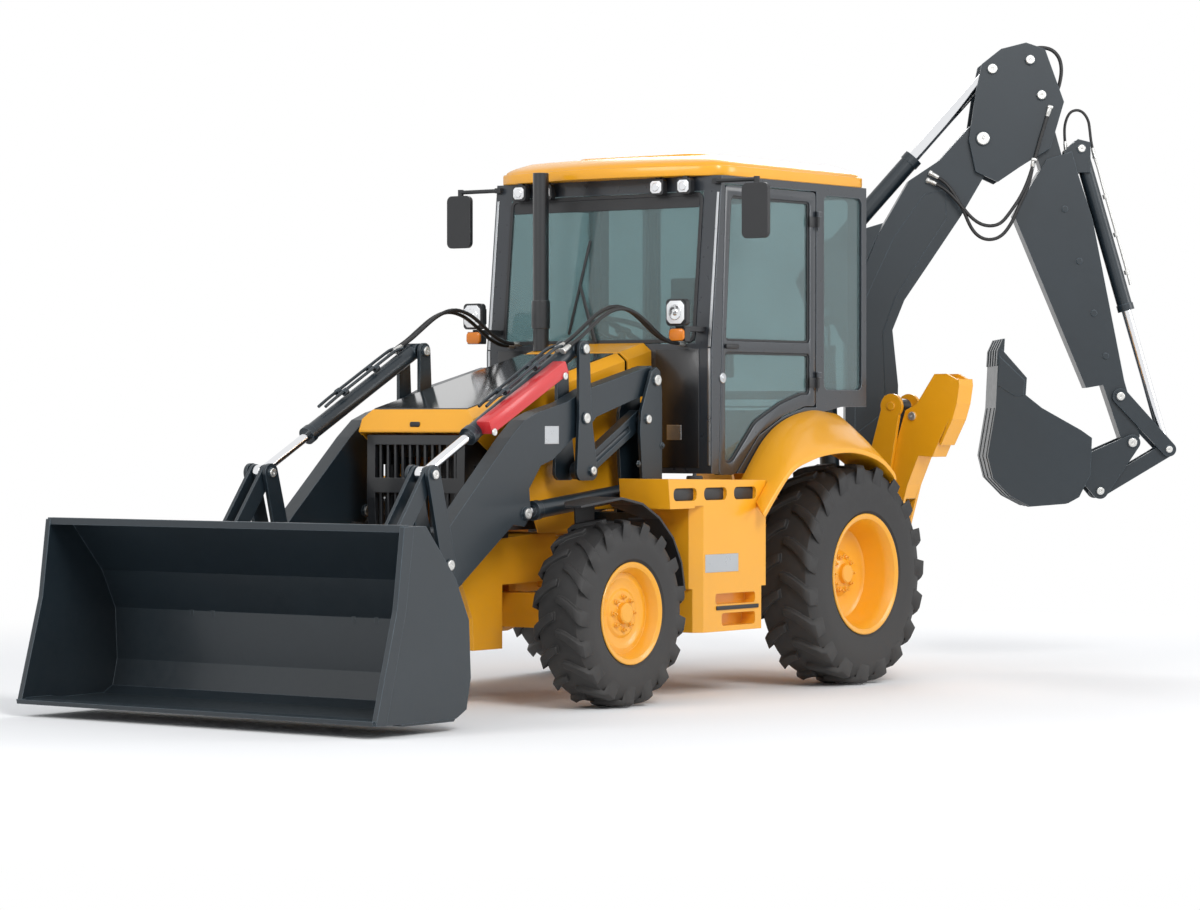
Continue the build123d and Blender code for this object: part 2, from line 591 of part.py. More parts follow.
# ---- Loader ----
tower_plate = [(1380, 960), (1400, 1180), (1395, 1700), (1412, 1815), (1447, 1838), (1490, 1815), (1590, 1590),
               (1600, 1480), (1575, 1180), (1640, 960)]
with BuildPart() as loader_frame:
    for sign in sides.values():
        for y in (loader_y - plate_gap / 2, loader_y + plate_gap / 2):
            slab(side(sign * y), tower_plate, 20)
        block(side(sign * 485), (1380, 960), (1640, 1030), 320)
        block(side(sign * loader_y), (1380, 960), (1398, 1640), 150)
        for pivot, radius in ((arm_pivot, 36), (link_pivot, 28), (lift_base, 28)):
            pin(side(sign * loader_y), pivot, radius, 186)
loader_frame.part.label = "loader_frame"
export_step(loader_frame.part, "parts/loader_frame.step")

arm_outline = [
    (1447, 1846), (2035, 1712), (2227, 1640), (2480, 1585), (2598, 1543), (2720, 1450), (3193, 1028), (3420, 815),
    (3620, 545), (3790, 360), (3770, 280), (3665, 275), (3202, 640), (2700, 985), (2600, 975), (2545, 1030),
    (2560, 1177), (2457, 1299), (2350, 1330), (2180, 1440), (2050, 1480), (1960, 1560), (1570, 1668), (1400, 1700),
    (1372, 1790),
]
with BuildPart() as loader_arms:
    for sign in sides.values():
        slab(side(sign * loader_y), arm_outline, arm_width)
        # fork for the lift cylinder's eye
        slab(side(sign * loader_y), [(2440, 900), (2722, 900), (2722, 1100), (2680, 1165), (2440, 1210)], 66,
             Mode.SUBTRACT)
        for y in (-(arm_width / 2 + 8), arm_width / 2 + 8):
            head(side(sign * loader_y + y), lift_eye, 36, 16)
        bore(side(sign * loader_y), arm_pivot, 36, 200)
        for pivot, radius, length in ((lever_pivot, 34, 186), (rocker_pivot, 32, 176), (bucket_pivot, 36, 196)):
            pin(side(sign * loader_y), pivot, radius, length)
    # torque tube between the arms, on a stiffening plate at each end
    pin(side(), (3080, 900), 80, 2 * loader_y)
loader_arms.part.label = "loader_arms"
export_step(loader_arms.part, "parts/loader_arms.step")

with BuildPart() as loader_levers:
    for sign in sides.values():
        for y in (loader_y - plate_gap / 2, loader_y + plate_gap / 2):
            hull(side(sign * y), [(*lever_top, 46), (*lever_pivot, 56)], 20)
            hull(side(sign * y), [(*lever_pivot, 56), (*lever_low, 52), (2135, 1262, 48)], 20)
            bore(side(sign * y), lever_pivot, 34, 40)
        for y in (-1, 1):
            head(side(sign * loader_y + y * 90), lever_top, 32, 12)
            head(side(sign * loader_y + y * 90), lever_low, 30, 12)
loader_levers.part.label = "loader_levers"
export_step(loader_levers.part, "parts/loader_levers.step")

with BuildPart() as level_links:
    for sign in sides.values():
        hull(side(sign * loader_y), [(*link_pivot, 50), (*lever_low, 48)], 62)
        for y in (-34, 34):
            stick(side(sign * loader_y + y), between(link_pivot, lever_low, 110), between(lever_low, link_pivot, 110), 18,
                  Mode.SUBTRACT)
        bore(side(sign * loader_y), link_pivot, 28, 80)
level_links.part.label = "level_links"
export_step(level_links.part, "parts/level_links.step")

with BuildPart() as lift_barrels:
    for sign in sides.values():
        barrel(side(sign * loader_y), lift_base, lift_eye, 48, 1010, 55, 100, 30, 28)
lift_barrels.part.label = "lift_barrels"
export_step(lift_barrels.part, "parts/lift_barrels.step")

with BuildPart() as lift_rods:
    for sign in sides.values():
        rod(side(sign * loader_y), lift_base, lift_eye, 29.5, 200, 46, 52)
lift_rods.part.label = "lift_rods"
export_step(lift_rods.part, "parts/lift_rods.step")

with BuildPart() as tilt_barrels:
    for sign in sides.values():
        barrel(side(sign * loader_y), lever_top, tilt_eye, 45, 1028, 44, 90, 26, 0)
tilt_barrels.part.label = "tilt_barrels"
export_step(tilt_barrels.part, "parts/tilt_barrels.step")

with BuildPart() as tilt_rods:
    for sign in sides.values():
        rod(side(sign * loader_y), lever_top, tilt_eye, 25.5, 560, 42, 40)
tilt_rods.part.label = "tilt_rods"
export_step(tilt_rods.part, "parts/tilt_rods.step")

with BuildPart() as bucket_rockers:
    for sign in sides.values():
        for y in (-68, 68):
            hull(side(sign * loader_y + y), [(*rocker_pivot, 58), (*tilt_eye, 50)], 22)
            bore(side(sign * loader_y + y), rocker_pivot, 32, 40)
        for y in (-57, 57):
            pin(side(sign * loader_y + y), tilt_eye, 28, 60)
bucket_rockers.part.label = "bucket_rockers"
export_step(bucket_rockers.part, "parts/bucket_rockers.step")

with BuildPart() as bucket_links:
    for sign in sides.values():
        for y in (-41, 41):
            hull(side(sign * loader_y + y), [(*tilt_eye, 45), (*bucket_link_pin, 45)], 20)
            bore(side(sign * loader_y + y), tilt_eye, 28, 40)
bucket_links.part.label = "bucket_links"
export_step(bucket_links.part, "parts/bucket_links.step")

bucket_outer = [(4568, 66), (4400, 62), (3930, 64), (3850, 105), (3815, 259), (3830, 548), (3933, 756), (4167, 1024),
                (4330, 1024)]
bucket_inner = [(4575, 90), (4400, 84), (3950, 88), (3880, 125), (3845, 265), (3858, 540), (3958, 744), (4180, 996),
                (4340, 996)]
bucket_side = [(4560, 66), (3930, 64), (3850, 105), (3815, 259), (3830, 548), (3933, 756), (4167, 1024), (4342, 1024),
               (4400, 620)]
ear = [(3852, 110), (3835, 300), (3862, 560), (3960, 770), (3900, 795), (3800, 790), (3748, 740), (3770, 600),
       (3660, 400), (3655, 300), (3700, 262)]
with BuildPart() as loader_bucket:
    slab(side(), bucket_outer + bucket_inner[::-1], 2 * bucket_half)
    # upper lip, wear edge and skids
    block(side(), (4300, 996), (4342, 1032), 2 * bucket_half)
    slab(side(), [(4568, 66), (4568, 74), (4520, 96), (4330, 96), (4330, 62), (4400, 62)], 2 * bucket_half)
    for y in (-bucket_half + 40, -loader_y, 0, loader_y, bucket_half - 40):
        slab(side(y), [(3945, 50), (4330, 50), (4360, 63), (3930, 65)], 70)
    for sign in sides.values():
        slab(side(sign * (bucket_half - 10)), bucket_side, 20)
        slab(side(sign * (bucket_half - 4)), [(4560, 66), (4480, 64), (4330, 620), (4270, 1024), (4345, 1024),
                                              (4400, 620)], 30)
        for y in (-plate_gap / 2, plate_gap / 2):
            slab(side(sign * loader_y + y), ear, 25)
            bore(side(sign * loader_y + y), bucket_pivot, 36, 50)
        for y in (-94, 94):
            head(side(sign * loader_y + y), bucket_link_pin, 30, 14)
loader_bucket.part.label = "loader_bucket"
export_step(loader_bucket.part, "parts/loader_bucket.step")

# ---- Backhoe ----
with BuildPart() as swing_post:
    pin(level(710), (swing_x, 0), 100, 290)
    pin(level(715), (swing_x, 0), swing_pin_radius, 450)
    block(hoe(), (60, 566), (200, 790), 220)
    # cheeks outboard of the lugs carry the boom's foot, and reach back over the upper lug to its cylinder
    for v in (-130, 130):
        slab(hoe(v), [(135, 566), (200, 566), (270, 830), (270, 970), (130, 1190), (-70, 1210), (-150, 1130),
                      (-120, 940), (125, 930)], 30)
    block(hoe(), (-130, 935), (60, 985), 290)
    block(hoe(), (130, 566), (200, 790), 290)
    pin(hoe(), boom_foot, 45, 310)
    pin(hoe(), boom_ram_base, 36, 310)
swing_post.part.label = "swing_post"
export_step(swing_post.part, "parts/swing_post.step")

with BuildPart() as boom:
    slab(hoe(), [(130, 870), (190, 838), (252, 870), (343, 1541), (347, 1761), (311, 2107), (386, 2295), (568, 2565),
                 (744, 2828), (960, 3200), (955, 3370), (800, 3390), (605, 3173), (417, 3048), (229, 2722),
                 (16, 2213), (16, 1540), (110, 960)], 200)
    # plain panels let into both sides
    for v in (-101, 101):
        slab(hoe(v), [(75, 1450), (270, 1600), (250, 2090), (330, 2320), (650, 2810), (640, 2990), (510, 2960),
                      (320, 2690), (85, 2180)], 10, Mode.SUBTRACT)
    # fork for the two cylinders on the machine's side
    for v in (-92, 92):
        slab(hoe(v), [(30, 2000), (30, 2260), (250, 2780), (-148, 2660), (-290, 2420), (-240, 2290), (-190, 2180),
                      (-120, 2130), (-50, 2150)], 16)
    bore(hoe(), boom_foot, 45, 260)
    pin(hoe(), dipper_pivot, 45, 300)
    pin(hoe(), dipper_ram_base, 36, 224)
    for v in (-106, 106):
        head(hoe(v), boom_ram_eye, 36, 14)
boom.part.label = "boom"
export_step(boom.part, "parts/boom.step")

with BuildPart() as boom_barrel:
    barrel(hoe(), boom_ram_base, boom_ram_eye, 62, 880, 60, 120, 40, 36)
boom_barrel.part.label = "boom_barrel"
export_step(boom_barrel.part, "parts/boom_barrel.step")

with BuildPart() as boom_rod:
    rod(hoe(), boom_ram_base, boom_ram_eye, 39.5, 160, 55, 90)
boom_rod.part.label = "boom_rod"
export_step(boom_rod.part, "parts/boom_rod.step")

with BuildPart() as dipper_barrel:
    barrel(hoe(), dipper_ram_base, dipper_ram_eye, 55, 1010, 60, 100, 36, 36)
dipper_barrel.part.label = "dipper_barrel"
export_step(dipper_barrel.part, "parts/dipper_barrel.step")

with BuildPart() as dipper_rod:
    rod(hoe(), dipper_ram_base, dipper_ram_eye, 35.5, 770, 50, 80)
dipper_rod.part.label = "dipper_rod"
export_step(dipper_rod.part, "parts/dipper_rod.step")


def along_beam(corners):
    """Points given as (distance down the dipper's beam, distance across it)."""
    return [(beam_top[0] + slide_way[0] * down + slide_way[1] * over, beam_top[1] + slide_way[1] * down
             - slide_way[0] * over) for down, over in corners]


with BuildPart() as dipper:
    for v in (-125, 125):
        slab(hoe(v), [(787, 3300), (831, 3600), (868, 3775), (988, 3870), (1145, 3910), (1264, 3870), (1384, 3538),
                      (1300, 3250), (1108, 3130), (970, 3036), (830, 3100)], 24)
        bore(hoe(v), dipper_pivot, 45, 40)
    slab(hoe(), along_beam([(0, -75), (0, 75), (1740, 75), (1740, -75)]), 150)
    slab(hoe(), [(1130, 3780), (1250, 3800), (1290, 3600), (1150, 3560)], 230)
    for v in (-144, 144):
        for centre in (dipper_ram_eye, (1170, 3802), (1242, 3581)):
            head(hoe(v), centre, 34, 14)
dipper.part.label = "dipper"
export_step(dipper.part, "parts/dipper.step")

with BuildPart() as dipper_slide:
    slab(hoe(), [(1077, 2829), (1150, 2960), (1280, 3180), (1440, 3230), (1475, 3100), (1570, 2804), (1770, 1793),
                 (1870, 1440), (1817, 1340), (1760, 1400), (1638, 1762), (1531, 1743)], 190)
    for v in (-62, 62):
        slab(hoe(v), [(1380, 3100), (1560, 3100), (1560, 3290), (1480, 3310), (1400, 3240)], 20)
    slab(hoe(), along_beam([(-300, -81), (-300, 81), (1755, 81), (1755, -81)]), 162, Mode.SUBTRACT)
    # screws of the wear pads that the beam slides on
    for v in (-99, 99):
        for down in (760, 1100, 1440, 1720):
            head(hoe(v), along_beam([(down, 0)])[0], 20, 14)
    pin(hoe(), hoe_ram_base, 30, 160)
    pin(hoe(), hoe_rocker_pivot, 32, 270)
    pin(hoe(), hoe_pivot, 34, 290)
dipper_slide.part.label = "dipper_slide"
export_step(dipper_slide.part, "parts/dipper_slide.step")

with BuildPart() as hoe_barrel:
    barrel(hoe(), hoe_ram_base, hoe_ram_eye, 48, 1060, 50, 80, 32, 30)
hoe_barrel.part.label = "hoe_barrel"
export_step(hoe_barrel.part, "parts/hoe_barrel.step")

with BuildPart() as hoe_rod:
    rod(hoe(), hoe_ram_base, hoe_ram_eye, 31.5, 680, 45, 60)
hoe_rod.part.label = "hoe_rod"
export_step(hoe_rod.part, "parts/hoe_rod.step")

with BuildPart() as hoe_rocker:
    for v in (-115, 115):
        hull(hoe(v), [(*hoe_rocker_pivot, 50), (*hoe_ram_eye, 45)], 22)
        bore(hoe(v), hoe_rocker_pivot, 32, 40)
    for v in (-85, 85):
        pin(hoe(v), hoe_ram_eye, 26, 96)
hoe_rocker.part.label = "hoe_rocker"
export_step(hoe_rocker.part, "parts/hoe_rocker.step")

with BuildPart() as hoe_link:
    for v in (-75, 75):
        hull(hoe(v), [(*hoe_ram_eye, 45), (*hoe_link_pin, 45)], 30)
        bore(hoe(v), hoe_ram_eye, 26, 50)
hoe_link.part.label = "hoe_link"
export_step(hoe_link.part, "parts/hoe_link.step")

with BuildPart() as hoe_bucket:
    slab(hoe(), [(975, 1985), (1133, 1805), (1126, 1698), (1227, 1617), (1471, 1479), (1540, 1430), (1530, 1200),
                 (1460, 1060), (1391, 1022), (1152, 1003), (1033, 1066), (923, 1178), (889, 1316), (939, 1617),
                 (955, 1950)], 2 * hoe_half)
    slab(hoe(), [(990, 2100), (1300, 2100), (1700, 1600), (1560, 1500), (1505, 1400), (1500, 1200), (1440, 1085),
                 (1385, 1050), (1160, 1030), (1050, 1088), (948, 1195), (917, 1320), (966, 1617), (980, 1950)],
         2 * hoe_half - 50, Mode.SUBTRACT)
    for v in (-125, 125):
        hull(hoe(v), [(*hoe_pivot, 50), (*hoe_link_pin, 50), (1500, 1250, 60)], 24)
        bore(hoe(v), hoe_pivot, 34, 40)
    for v in (-142, 142):
        head(hoe(v), hoe_link_pin, 28, 14)
    # five teeth on the lip, side cutters and wear strips round the heel
    for number in range(5):
        slab(hoe(-264 + 132 * number), [(944, 1880), (978, 1880), (992, 1975), (996, 2049), (984, 2049), (950, 1975)], 62)
    for v in (-(hoe_half + 1), hoe_half + 1):
        slab(hoe(v), [(960, 1940), (1118, 1790), (1112, 1700), (1060, 1690), (950, 1760)], 14)
    for v in (-200, 0, 200):
        slab(hoe(v), [(935, 1617), (885, 1316), (919, 1175), (1030, 1061), (1150, 998), (1391, 1017), (1391, 1024),
                      (1152, 1006), (1034, 1068), (925, 1180), (891, 1316), (941, 1617)], 50)
hoe_bucket.part.label = "hoe_bucket"
export_step(hoe_bucket.part, "parts/hoe_bucket.step")

# ---- Stabilizers ----
leg_outline = [(490, 640), (560, 570), (640, 640), (785, 1146), (863, 1323), (962, 1318), (1012, 1421), (1096, 1578),
               (1124, 1675), (1138, 1783), (1060, 1822), (976, 1821), (850, 1640), (770, 1600), (698, 1383), (620, 1100)]
leg_web = [(758, 1060), (785, 1146), (863, 1323), (962, 1318), (1012, 1421), (1124, 1675), (1138, 1783), (1050, 1800),
           (930, 1500), (745, 1160)]
leg_pad = [(1010, 1395), (1022, 1389), (1104, 1546), (1134, 1640), (1152, 1750), (1148, 1790), (1136, 1783),
           (1122, 1675), (1094, 1578)]
for name, sign in sides.items():
    with BuildPart() as stabilizer:
        for x in (stabilizer_x - 68, stabilizer_x + 68):
            slab(across(x), [(sign * y, z) for y, z in leg_outline], 24)
            bore(across(x), (sign * leg_pivot[0], leg_pivot[1]), 35, 40)
        slab(across(stabilizer_x), [(sign * y, z) for y, z in leg_web], 120)
        slab(across(stabilizer_x), [(sign * y, z) for y, z in leg_pad], 160)
        for x in (stabilizer_x - 82, stabilizer_x + 82):
            head(across(x), (sign * 820, 1566), 30, 5)
    stabilizer.part.label = f"stabilizer_{name}"
    export_step(stabilizer.part, f"parts/stabilizer_{name}.step")

    base = (sign * leg_ram_base[0], leg_ram_base[1])
    eye = (sign * leg_ram_eye[0], leg_ram_eye[1])
    with BuildPart() as leg_barrel:
        barrel(across(stabilizer_x), base, eye, 42, 640, 45, 100, 27, 25)
    leg_barrel.part.label = f"leg_barrel_{name}"
    export_step(leg_barrel.part, f"parts/leg_barrel_{name}.step")

    with BuildPart() as leg_rod:
        rod(across(stabilizer_x), base, eye, 26.5, 150, 38, 60)
    leg_rod.part.label = f"leg_rod_{name}"
    export_step(leg_rod.part, f"parts/leg_rod_{name}.step")
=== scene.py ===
import bpy
import math
from mathutils import Matrix, Vector


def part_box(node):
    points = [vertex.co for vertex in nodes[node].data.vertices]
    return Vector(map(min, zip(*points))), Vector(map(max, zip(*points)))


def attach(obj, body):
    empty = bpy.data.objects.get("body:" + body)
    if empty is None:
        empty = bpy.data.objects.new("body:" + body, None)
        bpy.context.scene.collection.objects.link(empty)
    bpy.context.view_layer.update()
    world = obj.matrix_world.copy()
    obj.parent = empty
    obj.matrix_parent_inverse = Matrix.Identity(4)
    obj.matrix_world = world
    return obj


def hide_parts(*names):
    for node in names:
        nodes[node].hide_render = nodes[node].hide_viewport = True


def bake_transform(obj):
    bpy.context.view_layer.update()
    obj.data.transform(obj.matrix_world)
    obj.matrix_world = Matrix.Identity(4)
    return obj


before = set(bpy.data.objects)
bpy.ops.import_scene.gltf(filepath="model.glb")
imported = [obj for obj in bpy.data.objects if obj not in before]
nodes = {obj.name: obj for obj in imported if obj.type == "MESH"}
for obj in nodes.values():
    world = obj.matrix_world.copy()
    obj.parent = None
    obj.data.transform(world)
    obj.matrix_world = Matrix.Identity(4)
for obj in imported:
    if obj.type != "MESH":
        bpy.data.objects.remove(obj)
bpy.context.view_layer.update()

bpy.ops.object.select_all(action="DESELECT")

# the rear axle's middle, on the floor: machine places are given from it, forward, left and up
leftLow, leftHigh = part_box("rear_tyre_left")
rightLow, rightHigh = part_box("rear_tyre_right")
axle = Vector(((leftLow.x + leftHigh.x) / 2, (leftLow.y + leftHigh.y + rightLow.y + rightHigh.y) / 4, 0))
swing = {"x": -1.45, "angle": math.radians(53)}  # where the backhoe turns, and how far it stands swung
outward = Vector((-math.cos(swing["angle"]), math.sin(swing["angle"]), 0))
sideways = Vector((math.sin(swing["angle"]), math.cos(swing["angle"]), 0))
sides = {"left": 1, "right": -1}
forward = Vector((1, 0, 0))
leftward = Vector((0, 1, 0))
upward = Vector((0, 0, 1))


def place(x, y, z):
    return Vector((axle.x + x, axle.y + y, z))


def hoePlace(u, v, z):  # outward from the swing pin, sideways, up
    return place(swing["x"], 0, z) + outward * u + sideways * v


def plane(origin, across, up):  # the pieces' drawing planes, with their normal as z
    turn = Matrix((across, up, across.cross(up))).transposed()
    return Matrix.Translation(origin) @ turn.to_4x4()


def sidePlane(y):
    return plane(place(0, y, 0), forward, upward)


def acrossPlane(x):
    return plane(place(x, 0, 0), leftward, upward)


def levelPlane(z):
    return plane(place(0, 0, z), forward, leftward)


def addObject(name, data):
    thing = bpy.data.objects.new(name, data)
    bpy.context.scene.collection.objects.link(thing)
    return thing


# camera, lamps and studio
view = {"x": 18.215, "y": 12.727, "z": 1.555, "azimuth": 216.649, "elevation": -0.575, "lens": 111.03}
cameraData = bpy.data.cameras.new("camera")
cameraData.lens = view["lens"]
cameraData.sensor_width = 36
cameraData.clip_end = 200
camera = addObject("camera", cameraData)
camera.location = place(view["x"], view["y"], view["z"])
tilt = math.radians(view["elevation"])
heading = math.radians(view["azimuth"])
lookAt = Vector((math.cos(tilt) * math.cos(heading), math.cos(tilt) * math.sin(heading), math.sin(tilt)))
camera.rotation_euler = lookAt.to_track_quat("-Z", "Y").to_euler()
bpy.context.scene.camera = camera
bpy.context.scene.view_settings.view_transform = "Standard"

lamps = {
    "key": {"at": (9.0, 13.0, 11.0), "aim": (0.5, 0, 1.2), "size": 7.0, "power": 1500},
    "front": {"at": (14.0, -2.0, 8.0), "aim": (1.0, 0, 1.2), "size": 6.0, "power": 500},
    "rear": {"at": (-11.0, -6.0, 9.0), "aim": (0, 0, 1.2), "size": 7.0, "power": 700},
    "side": {"at": (-6.0, 12.0, 5.0), "aim": (-1.0, 0, 1.5), "size": 5.0, "power": 350},
}
for name, lamp in lamps.items():
    data = bpy.data.lights.new("lamp_" + name, "AREA")
    data.shape = "DISK"
    data.size = lamp["size"]
    data.energy = lamp["power"]
    lampObject = addObject("lamp_" + name, data)
    lampObject.location = place(*lamp["at"])
    aim = place(*lamp["aim"]) - lampObject.location
    lampObject.rotation_euler = aim.to_track_quat("-Z", "Y").to_euler()


def feed(tree, node, feeds):  # sets a node's inputs, or links them to the outputs that feed them
    for socket, value in feeds.items():
        if isinstance(value, (int, float, tuple)):
            node.inputs[socket].default_value = value
        else:
            tree.links.new(value, node.inputs[socket])


def addNode(tree, kind, operation=None, feeds=()):
    node = tree.nodes.new("ShaderNode" + kind)
    if operation:
        node.operation = operation
    feed(tree, node, feeds if isinstance(feeds, dict) else dict(enumerate(feeds)))
    return node


def addNoise(tree, coordinates, detail, scale):
    feeds = {"Vector": coordinates.outputs["Object"], "Detail": detail, "Scale": scale}
    return addNode(tree, "TexNoise", feeds=feeds).outputs["Fac"]


def blended(tree, share, a, b):  # a colour between two
    node = addNode(tree, "Mix")
    node.data_type = "RGBA"
    feed(tree, node, {0: share, 6: a, 7: b})
    return node.outputs[2]


def newMaterial(name):
    material = bpy.data.materials.new(name)
    material.use_nodes = True
    return material, material.node_tree, material.node_tree.nodes["Principled BSDF"]


def seenPlainly(tree, *rays):  # 1 for the camera and the named kinds of ray, which see plain white
    path = addNode(tree, "LightPath")
    seen = path.outputs["Is Camera Ray"]
    for ray in rays:
        seen = addNode(tree, "Math", "MAXIMUM", (seen, path.outputs[ray])).outputs[0]
    return seen


backdrop = {"soft": (0.92, 0.95, 1.0, 1), "strength": 0.55, "floor": (0.93, 0.93, 0.93, 1), "floorRough": 0.9,
            "whiteFrom": 4.2, "whiteAt": 9.0}
world = bpy.data.worlds.new("studio")
bpy.context.scene.world = world
world.use_nodes = True
tree = world.node_tree
tree.nodes.clear()
output = addNode(tree, "OutputWorld")
soft = addNode(tree, "Background", feeds=(backdrop["soft"], backdrop["strength"]))
white = addNode(tree, "Background", feeds=((1, 1, 1, 1),))
seen = seenPlainly(tree, "Is Glossy Ray", "Is Transmission Ray")
mix = addNode(tree, "MixShader", feeds=(seen, soft.outputs[0], white.outputs[0]))
tree.links.new(mix.outputs[0], output.inputs[0])

bpy.ops.mesh.primitive_plane_add(size=120, location=(0, 0, 0))
floor = bpy.context.object
floor.name = "floor"
floorPaint, tree, shader = newMaterial("floorPaint")
feed(tree, shader, {"Base Color": backdrop["floor"], "Roughness": backdrop["floorRough"]})
glow = addNode(tree, "Emission")  # further out the camera sees plain white
coordinates = addNode(tree, "TexCoord")
distance = addNode(tree, "VectorMath", "LENGTH", (coordinates.outputs["Object"],))
fade = addNode(tree, "MapRange",
               feeds=(distance.outputs["Value"], backdrop["whiteFrom"], backdrop["whiteAt"]))
fade.interpolation_type = "SMOOTHSTEP"
share = addNode(tree, "Math", "MULTIPLY", (seenPlainly(tree, "Is Glossy Ray"), fade.outputs[0]))
mix = addNode(tree, "MixShader", feeds=(share.outputs[0], shader.outputs[0], glow.outputs[0]))
tree.links.new(mix.outputs[0], tree.nodes["Material Output"].inputs[0])
floor.data.materials.append(floorPaint)
floor.select_set(False)
print("studio ready")

# finishes: paint that varies a little, carries a painted highlight along its edges, made patchy by scuff
# noise, and keeps dust in its lower parts
surface = {"broadScale": 2.3, "scuffScale": 26, "edgeRadius": 0.006, "edgeHighlightGain": 5.0, "edgeHighlightLeast": 0.35,
           "dustTop": 1.3, "dust": (0.34, 0.3, 0.25, 1), "patchy": 0.16, "grainDepth": 0.001,
           "coatRough": 0.12}
finishParts = ("slot", "Colour", "Edge Highlight Colour", "Edge Highlight Amount", "Unevenness", "Grain", "Grain Scale",
               "Smoothness", "Dust", "coat", "metal")
# each finish's edge colour and edge amount paint a paler highlight along its edges
finishes = {
    "yellowPaint": ("yellow_paint", (0.87, 0.385, 0.008), (0.95, 0.55, 0.1), 0.5, 0.16, 0.1, 90,
        0.33, 0.16, 0.35, 0.0),
    "slatePaint": ("slate_paint", (0.0095, 0.0175, 0.0245), (0.1, 0.14, 0.17), 0.9, 0.45, 0.12, 90,
        0.38, 0.04, 0.12, 0.0),
    "greyPaint": ("grey_paint", (0.024, 0.029, 0.036), (0.22, 0.25, 0.28), 1.0, 0.25, 0.1, 120,
        0.3, 0.05, 0.3, 0.0),
    "blackPaint": ("black_paint", (0.01, 0.011, 0.013), (0.06, 0.065, 0.07), 0.8, 0.3, 0.12, 110,
        0.32, 0.05, 0.3, 0.0),
    "hoodGloss": ("black_paint", (0.008, 0.01, 0.012), (0.05, 0.055, 0.06), 0.4, 0.2, 0.03, 60,
        0.1, 0.0, 0.8, 0.0),
    "castIron": ("cast_iron", (0.05, 0.05, 0.052), (0.16, 0.16, 0.16), 0.6, 0.5, 0.6, 160,
        0.62, 0.25, 0.0, 0.0),
    "blackPlastic": ("black_plastic", (0.014, 0.015, 0.017), (0.06, 0.06, 0.065), 0.6, 0.25, 0.35, 420,
        0.48, 0.04, 0.0, 0.0),
    "rubber": ("tyre", (0.016, 0.016, 0.017), (0.045, 0.044, 0.043), 0.8, 0.5, 0.5, 260,
        0.62, 0.1, 0.0, 0.0),
    "hoseRubber": ("black_plastic", (0.012, 0.012, 0.013), (0.03, 0.03, 0.03), 0.2, 0.3, 0.5, 700,
        0.5, 0.0, 0.0, 0.0),
    "zinc": ("chrome_steel", (0.62, 0.62, 0.6), (0.85, 0.85, 0.85), 0.6, 0.25, 0.25, 300,
        0.34, 0.0, 0.0, 0.85),
    "redPaint": ("yellow_paint", (0.62, 0.025, 0.03), (0.75, 0.2, 0.18), 0.6, 0.2, 0.1, 90,
        0.32, 0.0, 0.3, 0.0),
    "chrome": ("chrome_steel", (0.8, 0.81, 0.83), (0.9, 0.9, 0.9), 0.1, 0.06, 0.03, 300,
        0.1, 0.0, 0.0, 1.0),
    "paleMetal": ("chrome_steel", (0.5, 0.52, 0.54), (0.8, 0.8, 0.8), 0.4, 0.15, 0.1, 300,
        0.3, 0.0, 0.0, 0.9),
    "seatCloth": ("black_plastic", (0.04, 0.042, 0.046), (0.06, 0.06, 0.06), 0.1, 0.35, 0.9, 900,
        0.85, 0.0, 0.0, 0.0),
}


